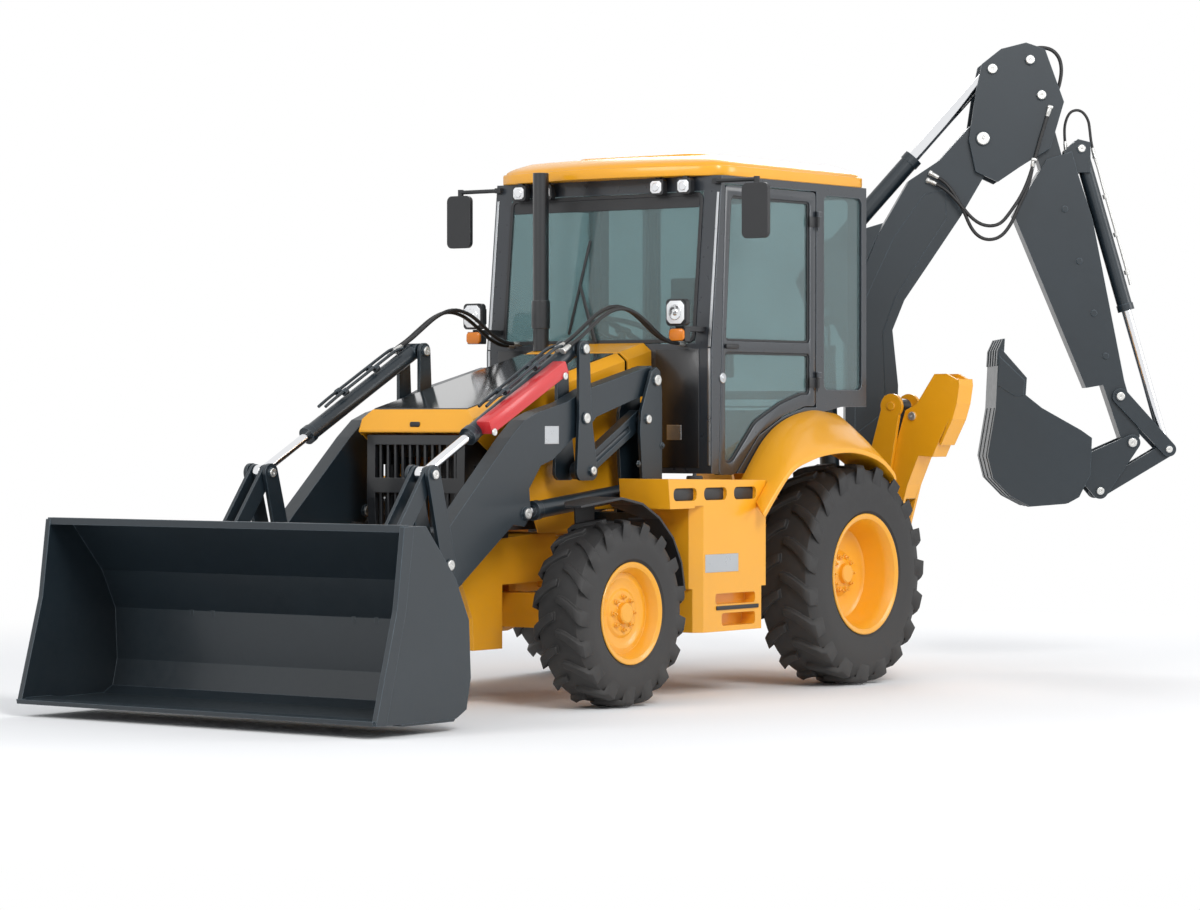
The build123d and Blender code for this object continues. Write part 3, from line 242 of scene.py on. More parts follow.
def makePaintGroup():
    group = bpy.data.node_groups.new("agedAndHighlitSurface", "ShaderNodeTree")
    for name in finishParts[1:9]:
        kind = "NodeSocketColor" if "Colour" in name else "NodeSocketFloat"
        group.interface.new_socket(name=name, in_out="INPUT", socket_type=kind)
    for name, kind in (("Colour", "Color"), ("Roughness", "Float"), ("Normal", "Vector")):
        group.interface.new_socket(name=name, in_out="OUTPUT", socket_type="NodeSocket" + kind)
    given = group.nodes.new("NodeGroupInput").outputs
    result = group.nodes.new("NodeGroupOutput")
    coordinates = addNode(group, "TexCoord")
    broad = addNoise(group, coordinates, 6, surface["broadScale"])
    fine = addNoise(group, coordinates, 3, given["Grain Scale"])
    scuffs = addNoise(group, coordinates, 5, surface["scuffScale"])

    def reckon(operation, a, b):
        return addNode(group, "Math", operation, (a, b)).outputs[0]

    # brighter and darker by place
    shade = reckon("ADD", reckon("MULTIPLY", reckon("SUBTRACT", broad, 0.5), given["Unevenness"]), 1.0)
    tinted = addNode(group, "VectorMath", "SCALE", {0: given["Colour"], "Scale": shade})
    # painted edge highlight: a paler colour where a rounded normal leaves the true one, broken up by scuff
    # noise
    rounded = addNode(group, "Bevel", feeds={"Radius": surface["edgeRadius"]})
    rounded.samples = 4
    normals = (rounded.outputs["Normal"], addNode(group, "NewGeometry").outputs["Normal"])
    facing = addNode(group, "VectorMath", "DOT_PRODUCT", normals).outputs["Value"]
    edge = reckon("MULTIPLY", reckon("SUBTRACT", 1.0, facing), surface["edgeHighlightGain"])
    patchyHighlight = reckon("MULTIPLY", edge, reckon("ADD", scuffs, surface["edgeHighlightLeast"]))
    clamp = addNode(group, "Clamp", feeds=(reckon("MULTIPLY", patchyHighlight, given["Edge Highlight Amount"]),))
    # mixes the paler edge colour in as a painted highlight along the edges
    highlitEdges = blended(group, clamp.outputs[0], tinted.outputs[0], given["Edge Highlight Colour"])
    # a little dust near the floor
    apart = addNode(group, "SeparateXYZ", feeds=(coordinates.outputs["Object"],))
    height = addNode(group, "MapRange", feeds=(apart.outputs["Z"], surface["dustTop"], 0.0))
    dusty = reckon("MULTIPLY", reckon("MULTIPLY", height.outputs[0], scuffs), given["Dust"])
    patchy = reckon("MULTIPLY", reckon("SUBTRACT", scuffs, 0.5), surface["patchy"])
    rough = reckon("ADD", given["Smoothness"], patchy)
    bump = addNode(group, "Bump", feeds={"Distance": surface["grainDepth"], "Strength": given["Grain"],
                                         "Height": fine, "Normal": normals[0]})
    feed(group, result, {"Colour": blended(group, dusty, highlitEdges, surface["dust"]),
                         "Roughness": reckon("ADD", rough, reckon("MULTIPLY", dusty, 0.5)),
                         "Normal": bump.outputs["Normal"]})
    return group


agedAndHighlitSurface = makePaintGroup()
materials = {}
for name in finishes:
    finish = finishes[name] = dict(zip(finishParts, finishes[name]))
    material, tree, shader = newMaterial(name)
    agedAndHighlit = tree.nodes.new("ShaderNodeGroup")
    agedAndHighlit.node_tree = agedAndHighlitSurface
    for part in finishParts[1:9]:
        value = finish[part]
        agedAndHighlit.inputs[part].default_value = (*value, 1) if isinstance(value, tuple) else value
    feed(tree, shader, {"Base Color": agedAndHighlit.outputs["Colour"], "Roughness": agedAndHighlit.outputs["Roughness"],
                        "Normal": agedAndHighlit.outputs["Normal"], "Metallic": finish["metal"],
                        "Coat Weight": finish["coat"], "Coat Roughness": surface["coatRough"]})
    materials[name] = material

lenses = {
    "glass": {"colour": (0.3, 0.42, 0.43), "rough": 0.03, "clear": 0.82},
    "whiteLens": {"colour": (0.8, 0.82, 0.84), "rough": 0.1, "clear": 0.1},
    "amberLens": {"colour": (0.85, 0.24, 0.02), "rough": 0.18, "clear": 0.25},
}
for name, lens in lenses.items():
    material, tree, shader = newMaterial(name)
    film = addNoise(tree, addNode(tree, "TexCoord"), 5, 3.0)  # a faint film of dust on the panes
    pale = tuple(min(1, part * 1.25) for part in lens["colour"])
    haze = addNode(tree, "MapRange", feeds=(film, 0.0, 1.0, 0.5 * lens["rough"], 1.6 * lens["rough"]))
    feed(tree, shader, {"Transmission Weight": lens["clear"], "IOR": 1.45, "Roughness": haze.outputs[0],
                        "Base Color": blended(tree, film, (*lens["colour"], 1), (*pale, 1))})
    materials[name] = material
    finishes[name] = {"slot": "glass"}

nodeFinish = {
    "slatePaint": ["loader_frame", "loader_arms", "loader_levers", "level_links", "lift_barrels",
                   "tilt_barrels", "bucket_rockers", "bucket_links", "loader_bucket", "swing_post",
                   "boom", "boom_barrel", "dipper_barrel", "dipper", "dipper_slide", "hoe_barrel",
                   "hoe_rocker", "hoe_link", "hoe_bucket", "leg_barrel_left", "leg_barrel_right"],
    "yellowPaint": ["main_frame", "front_axle", "rear_axle", "side_steps", "rear_fenders", "cab_roof",
                    "hood", "cowl", "stabilizer_left", "stabilizer_right"],
    "greyPaint": ["cab_shell", "door_left", "door_right"],
    "blackPaint": ["grille", "exhaust"],
    "hoodGloss": ["hood_panel"],
    "castIron": ["engine_block"],
    "blackPlastic": ["controls", "lamps", "mirrors", "knuckle_left", "knuckle_right"],
    "chrome": ["lift_rods", "tilt_rods", "boom_rod", "dipper_rod", "hoe_rod", "leg_rod_left",
               "leg_rod_right"],
    "glass": ["cab_glass"],
    "rubber": ["front_tyre_left", "front_tyre_right", "rear_tyre_left", "rear_tyre_right"],
}
for finishName, nodeNames in nodeFinish.items():
    for nodeName in nodeNames:
        for materialSlot in nodes[nodeName].material_slots:
            materialSlot.material = materials[finishName]
print("finishes ready")


# how the added pieces are modelled
def rectangle(a, b, c, d):  # the outline between two opposite corners
    return [(a, b), (c, b), (c, d), (a, d)]


def pick(piece):  # makes a piece the only one selected, and the active one
    bpy.ops.object.select_all(action="DESELECT")
    piece.select_set(True)
    bpy.context.view_layer.objects.active = piece


def drawOut(points):  # a vertex drawn out from point to point
    bpy.ops.object.select_all(action="DESELECT")
    bpy.ops.mesh.primitive_plane_add(size=0.01, location=(0, 0, 0))
    piece = bpy.context.object
    bpy.ops.object.mode_set(mode="EDIT")
    bpy.ops.mesh.select_all(action="SELECT")
    bpy.ops.mesh.merge(type="CENTER")
    bpy.ops.transform.translate(value=points[0])
    for start, end in zip(points, points[1:]):
        bpy.ops.mesh.extrude_vertices_move(TRANSFORM_OT_translate={"value": end - start})
    bpy.ops.mesh.select_all(action="SELECT")
    return piece


def editMesh(piece):
    pick(piece)
    bpy.ops.object.mode_set(mode="EDIT")


def sliceAt(at, normal):  # cuts the mesh being edited along a plane, and keeps both sides
    bpy.ops.mesh.select_all(action="SELECT")
    bpy.ops.mesh.bisect(plane_co=at, plane_no=normal)


def closeUp():  # merges the doubles, turns the faces outward and leaves edit mode
    bpy.ops.mesh.select_all(action="SELECT")
    bpy.ops.mesh.remove_doubles(threshold=0.00002)
    bpy.ops.mesh.normals_make_consistent(inside=False)
    bpy.ops.object.mode_set(mode="OBJECT")


def modify(piece, kind, **settings):  # adds a modifier and applies it
    modifier = piece.modifiers.new(kind, kind)
    for setting, value in settings.items():
        setattr(modifier, setting, value)
    bpy.context.view_layer.objects.active = piece
    bpy.ops.object.modifier_apply(modifier=modifier.name)


def bevelEdges(piece, width, segments=2):
    modify(piece, "BEVEL", width=width, segments=segments, limit_method="ANGLE", angle_limit=math.radians(40))


def lathe(profile, steps=48):  # the profile's points are (along the axis, radius); the axis is y
    piece = drawOut([Vector((radius, along, 0)) for along, radius in profile])
    bpy.ops.mesh.spin(steps=steps, angle=math.tau, center=(0, 0, 0), axis=(0, 1, 0))
    closeUp()
    return piece


def plate(outline, thickness, where, bevel=0.0):  # an outline drawn on a plane and drawn out along its normal
    piece = drawOut([Vector((a, b, 0)) for a, b in outline])
    bpy.ops.mesh.edge_face_add()
    bpy.ops.mesh.extrude_region_move(TRANSFORM_OT_translate={"value": (0, 0, thickness)})
    closeUp()
    if bevel:
        bevelEdges(piece, bevel)
    piece.matrix_world = where
    return piece


def alongAxis(at, axis):  # where a turned piece goes: its middle, and the way its axis points
    return Matrix.Translation(at) @ axis.to_track_quat("Y", "Z").to_matrix().to_4x4()


def turned(profile, steps, at, axis):  # a lathed piece in its place
    piece = lathe(profile, steps)
    piece.matrix_world = alongAxis(at, axis)
    return piece


def repeat(model, places):  # copies of one modelled piece, each with its own mesh, joined
    copies = []
    for matrix in places:
        copy = addObject(model.name, model.data.copy())
        copy.matrix_world = matrix
        copies.append(copy)
    bpy.data.objects.remove(model)
    return joinAll(copies)


def joinAll(pieces):
    for piece in pieces:
        pick(piece)
        bpy.ops.object.transform_apply(location=True, rotation=True, scale=True)
    for piece in pieces:
        piece.select_set(True)
    bpy.context.view_layer.objects.active = pieces[0]
    if len(pieces) > 1:
        bpy.ops.object.join()
    return pieces[0]


def dress(piece, name, finish, smooth):  # name, finish and shading of a finished piece
    pick(piece)
    bpy.ops.object.transform_apply(location=True, rotation=True, scale=True)
    bpy.ops.object.shade_smooth_by_angle(angle=math.radians(smooth))
    piece.name = name
    piece.data.name = name
    piece.data.materials.append(materials[finish])
    piece.select_set(False)
    return piece


def settle(piece, name, finish="blackPlastic", body="chassis", smooth=30):  # dressed and fixed to its body
    dress(piece, name, finish, smooth)
    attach(piece, body)
    return piece


# wheels: tyres with chevron lugs, dished rims with hubs and bolts
wheels = {
    "front": {"x": 2.2, "y": 0.88, "radius": 0.506, "width": 0.32, "seat": 0.254, "groove": 0.026,
              "lugs": 17, "lugWidth": 0.05, "slant": 0.105, "disc": 0.06, "hub": 0.118, "bolts": 8,
              "boltCircle": 0.088, "boltSize": 0.011},
    "rear": {"x": 0.0, "y": 0.925, "radius": 0.645, "width": 0.39, "seat": 0.33, "groove": 0.032,
             "lugs": 19, "lugWidth": 0.062, "slant": 0.13, "disc": -0.02, "hub": 0.06, "bolts": 10,
             "boltCircle": 0.1, "boltSize": 0.013},
}


def makeLug(wheel):  # one bar of the tread, for the tyre's top, running from its middle to the shoulder
    half = wheel["width"] / 2
    radius = wheel["radius"]
    bpy.ops.object.select_all(action="DESELECT")
    bpy.ops.mesh.primitive_cube_add(size=1)
    lug = bpy.context.object
    bpy.ops.object.mode_set(mode="EDIT")
    for cut in (-0.25, 0.0, 0.25, 0.38):
        sliceAt((0, cut, 0), (0, 1, 0))
    bpy.ops.object.mode_set(mode="OBJECT")
    for vertex in lug.data.vertices:
        along = vertex.co.y + 0.5  # 0 in the middle of the tread, 1 at the shoulder
        top = vertex.co.z > 0
        wide = wheel["lugWidth"] * (0.75 + 0.55 * along) * (1.0 if top else 1.25)
        lead = wheel["slant"] * (along ** 1.5 - 0.45)
        crown = 0.01 * along ** 2
        foot = radius - wheel["groove"] - 0.012 if along < 0.9 else radius - 0.125
        face = radius - 0.004 - crown if along < 0.9 else radius - 0.03
        drop = 0.0 if along < 0.9 else -0.006
        vertex.co = Vector((lead + vertex.co.x * wide, 0.006 + along * (half - 0.008) + drop * (not top),
                            face if top else foot))
    bevelEdges(lug, 0.005)
    return lug


def makeTyre(end, name, sign):
    wheel = wheels[end]
    half = wheel["width"] / 2
    seat = wheel["seat"]
    crown = wheel["radius"] - wheel["groove"]
    flank = crown - seat
    rightHalf = [(half - 0.026, seat + 0.0005), (half - 0.022, seat + 0.02), (half - 0.016, seat + 0.034),
                 (half - 0.008, seat + 0.04), (half - 0.004, seat + 0.4 * flank),
                 (half - 0.003, seat + 0.55 * flank), (half - 0.01, seat + 0.74 * flank),
                 (half - 0.02, crown - 0.03), (half - 0.036, crown - 0.008), (half - 0.07, crown),
                 (0.0, crown + 0.003)]
    profile = rightHalf + [(-along, radius) for along, radius in reversed(rightHalf[:-1])] + rightHalf[:1]
    tyre = lathe(profile, 96)
    lug = makeLug(wheel)
    places = []
    for number in range(wheel["lugs"]):
        for hand in (1, -1):
            turn = math.tau * (number + (0.5 if hand < 0 else 0.0)) / wheel["lugs"]
            places.append(Matrix.Rotation(turn, 4, "Y") @ Matrix.Diagonal((1, hand, 1, 1)))
    tread = repeat(lug, places)
    editMesh(tread)
    closeUp()
    tyre = joinAll([tyre, tread])
    tyre.matrix_world = Matrix.Translation(place(wheel["x"], sign * wheel["y"], wheel["radius"]))
    piece = settle(tyre, f"{end}Tyre_{name}", "rubber", f"{end}_wheel_{name}", 40)
    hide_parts(f"{end}_tyre_{name}")


def makeRim(end, name, sign):
    wheel = wheels[end]
    rim = wheel["width"] / 2 - 0.022
    seat = wheel["seat"]
    disc = wheel["disc"]
    hub = wheel["hub"]
    flange = [(rim + 0.01, seat + 0.008), (rim + 0.0115, seat + 0.018), (rim + 0.007, seat + 0.023),
              (rim + 0.002, seat + 0.022), (rim - 0.003, seat + 0.002), (rim - 0.006, seat)]
    # from the hub's middle over the disc, the deep dish and the flanges to the inner side
    profile = [(hub, 0.0), (hub, 0.048), (hub - 0.006, 0.056), (hub - 0.03, 0.06), (hub - 0.034, 0.078),
               (disc + 0.022, 0.12), (disc + 0.012, 0.135), (disc + 0.012, seat - 0.085),
               (disc + 0.022, seat - 0.066), (rim - 0.06, seat - 0.036), (rim - 0.036, seat - 0.03),
               (rim - 0.012, seat - 0.016), (rim + 0.002, seat - 0.008)]
    profile += flange + [(-along, radius) for along, radius in reversed(flange)]
    profile += [(-rim, seat - 0.01), (0.036 - rim, seat - 0.03), (disc - 0.004, seat - 0.05),
                (disc - 0.004, 0.0)]
    body = lathe(profile, 96)
    size = wheel["boltSize"]
    bolt = lathe([(0.0, 0.0), (0.0, 1.5 * size), (0.003, 1.5 * size), (0.004, size), (0.016, size),
                  (0.019, 0.8 * size), (0.019, 0.5 * size), (0.03, 0.48 * size), (0.032, 0.3 * size),
                  (0.032, 0.0)], 6)
    foot = disc + 0.022 + (hub - 0.034 - disc - 0.022) * (0.12 - wheel["boltCircle"]) / 0.042
    places = [Matrix.Rotation(math.tau * number / wheel["bolts"], 4, "Y")
              @ Matrix.Translation((wheel["boltCircle"], foot, 0)) for number in range(wheel["bolts"])]
    bolts = repeat(bolt, places)
    where = (Matrix.Translation(place(wheel["x"], sign * wheel["y"], wheel["radius"]))
             @ Matrix.Rotation(0 if sign > 0 else math.pi, 4, "Z"))
    body.matrix_world = where
    bolts.matrix_world = where
    piece = settle(body, f"{end}Rim_{name}", "yellowPaint", f"{end}_wheel_{name}")
    settle(bolts, f"{end}RimBolts_{name}", "yellowPaint", f"{end}_wheel_{name}", 20)
    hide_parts(f"{end}_rim_{name}")


for end in wheels:
    for name, sign in sides.items():
        makeTyre(end, name, sign)
        makeRim(end, name, sign)
print("wheels ready")

# doors: a framed shell with two panes in rubber seals, hinge leaves, a grip and a round latch
doors = {
    "outside": 0.807, "deep": 0.045, "round": 0.028, "sealWide": 0.014,
    "frame": ((1.068, 1.232), (0.908, 1.232), (0.669, 1.461), (0.421, 1.567), (0.191, 1.622), (0.077, 1.622),
              (0.077, 2.873), (1.004, 2.873)),
    "windows": (((1.003, 1.99), (0.14, 1.99), (0.14, 2.815), (0.947, 2.815)),
                ((1.01, 1.3), (0.938, 1.3), (0.7, 1.525), (0.44, 1.635), (0.22, 1.69), (0.14, 1.69),
                 (0.14, 1.93), (1.01, 1.93))),
    "hinges": (1.76, 2.7), "hingeX": 0.073, "latch": (
        (0.0, 0.0), (0.0, 0.03), (0.006, 0.03), (0.009, 0.026), (0.009, 0.012), (0.012, 0.01), (0.012, 0.0)),
}


def sideSlab(outline, inner, outer, sign, bevel=0.0):  # a plate between two distances from the middle
    return plate(outline, outer - inner, sidePlane(outer if sign > 0 else -inner), bevel)


def cornersRounded(piece, size):  # rounds the corners of a plate's outline
    pick(piece)
    bpy.context.tool_settings.mesh_select_mode = (False, True, False)
    for part in (*piece.data.vertices, *piece.data.polygons):
        part.select = False
    for edge in piece.data.edges:
        a, b = (piece.data.vertices[index].co for index in edge.vertices)
        edge.select = abs(a.z - b.z) > 0.5 * (a - b).length
    bpy.ops.object.mode_set(mode="EDIT")
    bpy.ops.mesh.bevel(offset=size, segments=4, affect="EDGES")
    bpy.ops.mesh.select_mode(type="VERT")
    closeUp()
    return piece


def ring(outline, thickness, where, wide, corner):  # a strip that follows an outline, such as a seal
    piece = drawOut([Vector((a, b, 0)) for a, b in outline])
    bpy.ops.mesh.edge_face_add()
    bpy.ops.mesh.bevel(offset=corner, segments=4, affect="VERTICES")
    bpy.ops.mesh.select_all(action="SELECT")
    bpy.ops.mesh.inset(thickness=wide)
    bpy.ops.mesh.delete(type="FACE")
    bpy.ops.mesh.select_all(action="SELECT")
    bpy.ops.mesh.extrude_region_move(TRANSFORM_OT_translate={"value": (0, 0, thickness)})
    closeUp()
    piece.matrix_world = where
    return piece


def cutOut(piece, cutter):
    bpy.ops.object.select_all(action="DESELECT")
    modify(piece, "BOOLEAN", operation="DIFFERENCE", object=cutter)
    bpy.data.objects.remove(cutter)


def makeDoor(name, sign):
    outside = doors["outside"]
    inside = outside - doors["deep"]
    frameShell = cornersRounded(sideSlab(doors["frame"], inside, outside, sign), doors["round"])
    panes = []
    seals = []
    for window in doors["windows"]:
        opening = sideSlab(window, inside - 0.01, outside + 0.01, sign)
        cutOut(frameShell, cornersRounded(opening, doors["round"]))
        panes.append(cornersRounded(sideSlab(window, outside - 0.023, outside - 0.017, sign), doors["round"]))
        where = sidePlane(outside - 0.009 if sign > 0 else 0.017 - outside)
        seals.append(ring(window, 0.008, where, doors["sealWide"], doors["round"]))
    bevelEdges(frameShell, 0.004)
    hardware = []
    for z in doors["hinges"]:
        leaf = rectangle(doors["hingeX"] + 0.006, z - 0.03, 0.15, z + 0.03)
        hardware.append(sideSlab(leaf, outside, outside + 0.006, sign, 0.002))
        barrel = [(-0.03, 0.007), (-0.03, 0.012), (0.03, 0.012), (0.03, 0.007), (-0.03, 0.007)]
        hardware.append(turned(barrel, 24, place(doors["hingeX"], sign * (outside + 0.012), z), upward))
    grip = rectangle(0.89, 1.946, 1.015, 1.974)
    hardware.append(sideSlab(grip, outside, outside + 0.018, sign, 0.007))
    piece = settle(frameShell, "doorFrame_" + name, "greyPaint", "door_" + name)
    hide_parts("door_" + name)
    settle(joinAll(panes), "doorPanes_" + name, "glass", "door_" + name)
    settle(joinAll(seals), "doorSeals_" + name, "blackPlastic", "door_" + name)
    settle(joinAll(hardware), "doorHardware_" + name, "blackPlastic", "door_" + name)
    latch = turned(doors["latch"], 32, place(1.036, sign * outside, 1.78), leftward * sign)
    settle(latch, "doorLatch_" + name, "paleMetal", "door_" + name)


for name, sign in sides.items():
    makeDoor(name, sign)
print("doors ready")

# bright pin heads with a grease nipple, by body
pinLook = {"proud": 0.007, "segments": 28}


def pinHead(radius):
    proud = pinLook["proud"]
    return lathe([(0.0, 0.0), (0.0, radius), (proud - 0.002, radius), (proud, radius - 0.003),
                  (proud, 0.3 * radius), (proud - 0.002, 0.26 * radius), (proud - 0.002, 0.12 * radius),
                  (proud + 0.003, 0.1 * radius), (proud + 0.003, 0.0)], pinLook["segments"])


loaderPins = {  # forward, up, distance from the arm's middle, radius
    "loader_frame": ((1.447, 1.766, 0.093, 0.03), (1.533, 1.548, 0.093, 0.024), (1.468, 1.157, 0.093, 0.024)),
    "loader_arms": ((2.106, 1.553, 0.093, 0.028), (3.275, 0.79, 0.088, 0.027), (3.72, 0.335, 0.098, 0.03),
                    (2.59, 1.043, 0.064, 0.028)),
    "loader_levers": ((2.115, 1.93, 0.096, 0.026), (2.05, 1.266, 0.096, 0.024)),
    "bucket_rockers": ((3.4, 1.262, 0.087, 0.024),),
    "loader_bucket": ((3.8, 0.725, 0.101, 0.025),),
}
hoePins = {  # outward, up, distance from the backhoe's middle plane, radius
    "swing_post": ((0.19, 0.9, 0.155, 0.038), (-0.07, 1.13, 0.155, 0.03)),
    "boom": ((0.875, 3.308, 0.15, 0.04), (-0.215, 2.44, 0.112, 0.028), (-0.12, 2.21, 0.113, 0.028)),
    "dipper": ((0.933, 3.745, 0.151, 0.03), (1.17, 3.802, 0.151, 0.028), (1.242, 3.581, 0.151, 0.028)),
    "dipper_slide": ((1.503, 3.25, 0.08, 0.024), (1.743, 1.691, 0.135, 0.026), (1.817, 1.4, 0.145, 0.028)),
    "hoe_rocker": ((2.049, 1.357, 0.133, 0.021),),
    "hoe_bucket": ((1.614, 1.096, 0.149, 0.024),),
}


def makePins(name, body, pins, places):  # the heads of one body's pins; places says where each row's stand
    heads = [repeat(pinHead(radius), places(along, z, reach)) for along, z, reach, radius in pins]
    settle(joinAll(heads), "pinHeads_" + name, "zinc", body)


def loaderPlaces(x, z, reach):
    return [alongAxis(place(x, sign * 0.56 + hand * reach, z), leftward * hand)
            for sign in (1, -1) for hand in (1, -1)]


def hoePlaces(u, z, reach):
    return [alongAxis(hoePlace(u, hand * reach, z), sideways * hand) for hand in (1, -1)]


for body, pins in loaderPins.items():
    makePins(body, "chassis" if body == "loader_frame" else body, pins, loaderPlaces)
for body, pins in hoePins.items():
    makePins(body, body, pins, hoePlaces)
for name, sign in sides.items():
    places = [alongAxis(place(hand * 0.0845 - 1.05, sign * 0.82, 1.566), forward * hand) for hand in (1, -1)]
    settle(repeat(pinHead(0.026), places), "pinHeads_leg_" + name, "zinc", "stabilizer_" + name)
print("pins ready")

# headlamps, indicators and work lamps: flat lenses, with a bowl behind the headlamps and work lamps and a rim
# round the headlamps
headlamp = {"x": 1.372, "y": 0.726, "z": 2.145, "width": 0.118, "height": 0.128, "bowl": (
    (0.0, 0.0), (0.0, 0.04), (0.004, 0.044), (0.006, 0.04), (0.003, 0.018), (0.007, 0.014), (0.008, 0.0))}
workLamp = {"x": 1.112, "z": 2.868, "across": (0.4, 0.59), "width": 0.076, "height": 0.07, "bowl": (
    (0.0, 0.0), (0.0, 0.022), (0.003, 0.025), (0.005, 0.021), (0.003, 0.01), (0.005, 0.0))}


def lensPlate(width, height, thickness, x, y, z, finish, name):
    w = width / 2
    h = height / 2
    c = 0.2 * min(width, height)
    outline = [(y - w + c, z - h), (y + w - c, z - h), (y + w, z - h + c), (y + w, z + h - c),
               (y + w - c, z + h), (y - w + c, z + h), (y - w, z + h - c), (y - w, z - h + c)]
    piece = plate(outline, thickness, acrossPlane(x), thickness * 0.35)
    return settle(piece, name, finish)


for name, sign in sides.items():
    y = sign * headlamp["y"]
    wide, high, x, z = (headlamp[key] for key in ("width", "height", "x", "z"))
    lensPlate(wide + 0.016, high + 0.016, 0.006, x, y, z, "blackPlastic", "headlampRim_" + name)
    lensPlate(wide, high, 0.008, x + 0.003, y, z, "whiteLens", "headlampLens_" + name)
    bowl = turned(headlamp["bowl"], 48, place(x + 0.009, y, z), forward)
    settle(bowl, "headlampBowl_" + name, "chrome")
    lensPlate(0.1, 0.068, 0.018, 1.356, y, 2.02, "amberLens", "indicatorLens_" + name)
    for number, across in enumerate(workLamp["across"]):
        lensPlate(workLamp["width"], workLamp["height"], 0.006, workLamp["x"], sign * across, workLamp["z"],
                  "whiteLens", f"workLampLens_{name}_{number}")
        at = place(workLamp["x"] + 0.005, sign * across, workLamp["z"])
        settle(turned(workLamp["bowl"], 32, at, forward), f"workLampBowl_{name}_{number}", "chrome")
print("lamps ready")

# red lock strut stowed over the left tilt cylinder, with its two bright pins
strut = {"low": (2.945, 1.515), "high": (2.33, 1.815), "y": 0.628, "deep": 0.04, "wide": 0.046}
run = Vector((strut["high"][0] - strut["low"][0], strut["high"][1] - strut["low"][1]))
across = Vector((-run.y, run.x)).normalized()
run.normalize()
corners = []
for end, along in ((strut["low"], -0.03), (strut["high"], 0.03)):
    middle = Vector(end) + run * along
    corners.append((middle - across * strut["deep"], middle + across * strut["deep"]))
outline = [tuple(corners[0][0]), tuple(corners[1][0]), tuple(corners[1][1]), tuple(corners[0][1])]
bar = plate(outline, 2 * strut["wide"], sidePlane(strut["y"] + strut["wide"]), 0.01)
settle(bar, "lockStrut", "redPaint", "tilt_barrels")
places = []
for x, z in (strut["low"], strut["high"]):
    places.append(alongAxis(place(x, strut["y"] + strut["wide"], z - 0.035), leftward))
settle(repeat(pinHead(0.02), places), "lockStrutPins", "zinc", "tilt_barrels")
print("strut ready")

# driver's seat: swollen cushions with sewn channels, padded armrests and a ribbed suspension
seat = {
    "cushion": ((0.172, 1.716), (0.64, 1.716), (0.636, 1.786), (0.56, 1.788), (0.172, 1.78)),
    "cushionWide": 0.45,
    "back": ((0.128, 1.86), (0.198, 1.8), (0.14, 2.404), (0.095, 2.404)), "backWide": 0.41,
    "arm": ((0.236, 1.966), (0.554, 1.966), (0.554, 2.004), (0.236, 2.004)), "armAcross": 0.27,
    "voxel": 0.014, "swell": 0.014, "steps": 20,
}


def swell(piece, channels, along):  # pressure fills the cushion, then its sewn channels are drawn in
    joinAll([piece])
    piece.data.remesh_voxel_size = seat["voxel"]
    bpy.ops.object.voxel_remesh()
    start = [vertex.co.copy() for vertex in piece.data.vertices]
    cloth = piece.modifiers.new("cloth", "CLOTH")
    cloth.settings.use_pressure = True
    cloth.settings.uniform_pressure_force = 4
    cloth.settings.effector_weights.gravity = 0
    for step in range(1, seat["steps"] + 1):
        bpy.context.scene.frame_set(step)
    bpy.ops.object.modifier_apply(modifier="cloth")
    bpy.context.scene.frame_set(1)
    middle = sum(start, Vector()) / len(start)
    for vertex, origin in zip(piece.data.vertices, start):
        moved = vertex.co - origin
        if moved.length > seat["swell"]:
            vertex.co = origin + moved.normalized() * seat["swell"]
        for channel in channels:
            near = math.exp(-((vertex.co.dot(along) - channel) / 0.009) ** 2)
            vertex.co += (middle - vertex.co).normalized() * 0.009 * near
    modify(piece, "SUBSURF", levels=1, render_levels=1)
    return piece


def centred(outline, wide, bevel, y=0.0):  # a plate of the side view, with y in the middle of its width
    return plate(outline, wide, sidePlane(y + wide / 2), bevel)


cushion = centred(seat["cushion"], seat["cushionWide"], 0.02)
swell(cushion, [axle.x + 0.3, axle.x + 0.43, axle.x + 0.55], forward)
cushion = settle(cushion, "seatCushion", "seatCloth", "chassis", 60)
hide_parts("seat")
back = centred(seat["back"], seat["backWide"], 0.016)
swell(back, [1.96, 2.1, 2.24], upward)
settle(back, "seatBack", "seatCloth", "chassis", 60)
for name, sign in sides.items():
    arm = centred(seat["arm"], 0.052, 0.012, sign * seat["armAcross"])
    swell(arm, [], upward)
    settle(arm, "seatArm_" + name, "seatCloth", "chassis", 60)
frameParts = [centred(rectangle(0.15, 1.802, 0.23, 1.858), 0.556, 0.006),
              centred(rectangle(0.16, 1.702, 0.63, 1.716), 0.44, 0.004)]
for sign in sides.values():
    frameParts.append(centred(rectangle(0.172, 1.792, 0.238, 1.968), 0.036, 0.006, sign * seat["armAcross"]))
suspension = [(0.256, 1.702), (0.256, 1.586), (0.449, 1.442), (0.518, 1.393), (0.534, 1.702)]
frameParts.append(centred(suspension, 0.288, 0.004))
for z in (1.6, 1.63, 1.66, 1.69):
    frameParts.append(centred(rectangle(0.25, z - 0.008, 0.538, z + 0.008), 0.3, 0.006))
settle(joinAll(frameParts), "seatFrame")
print("seat ready")

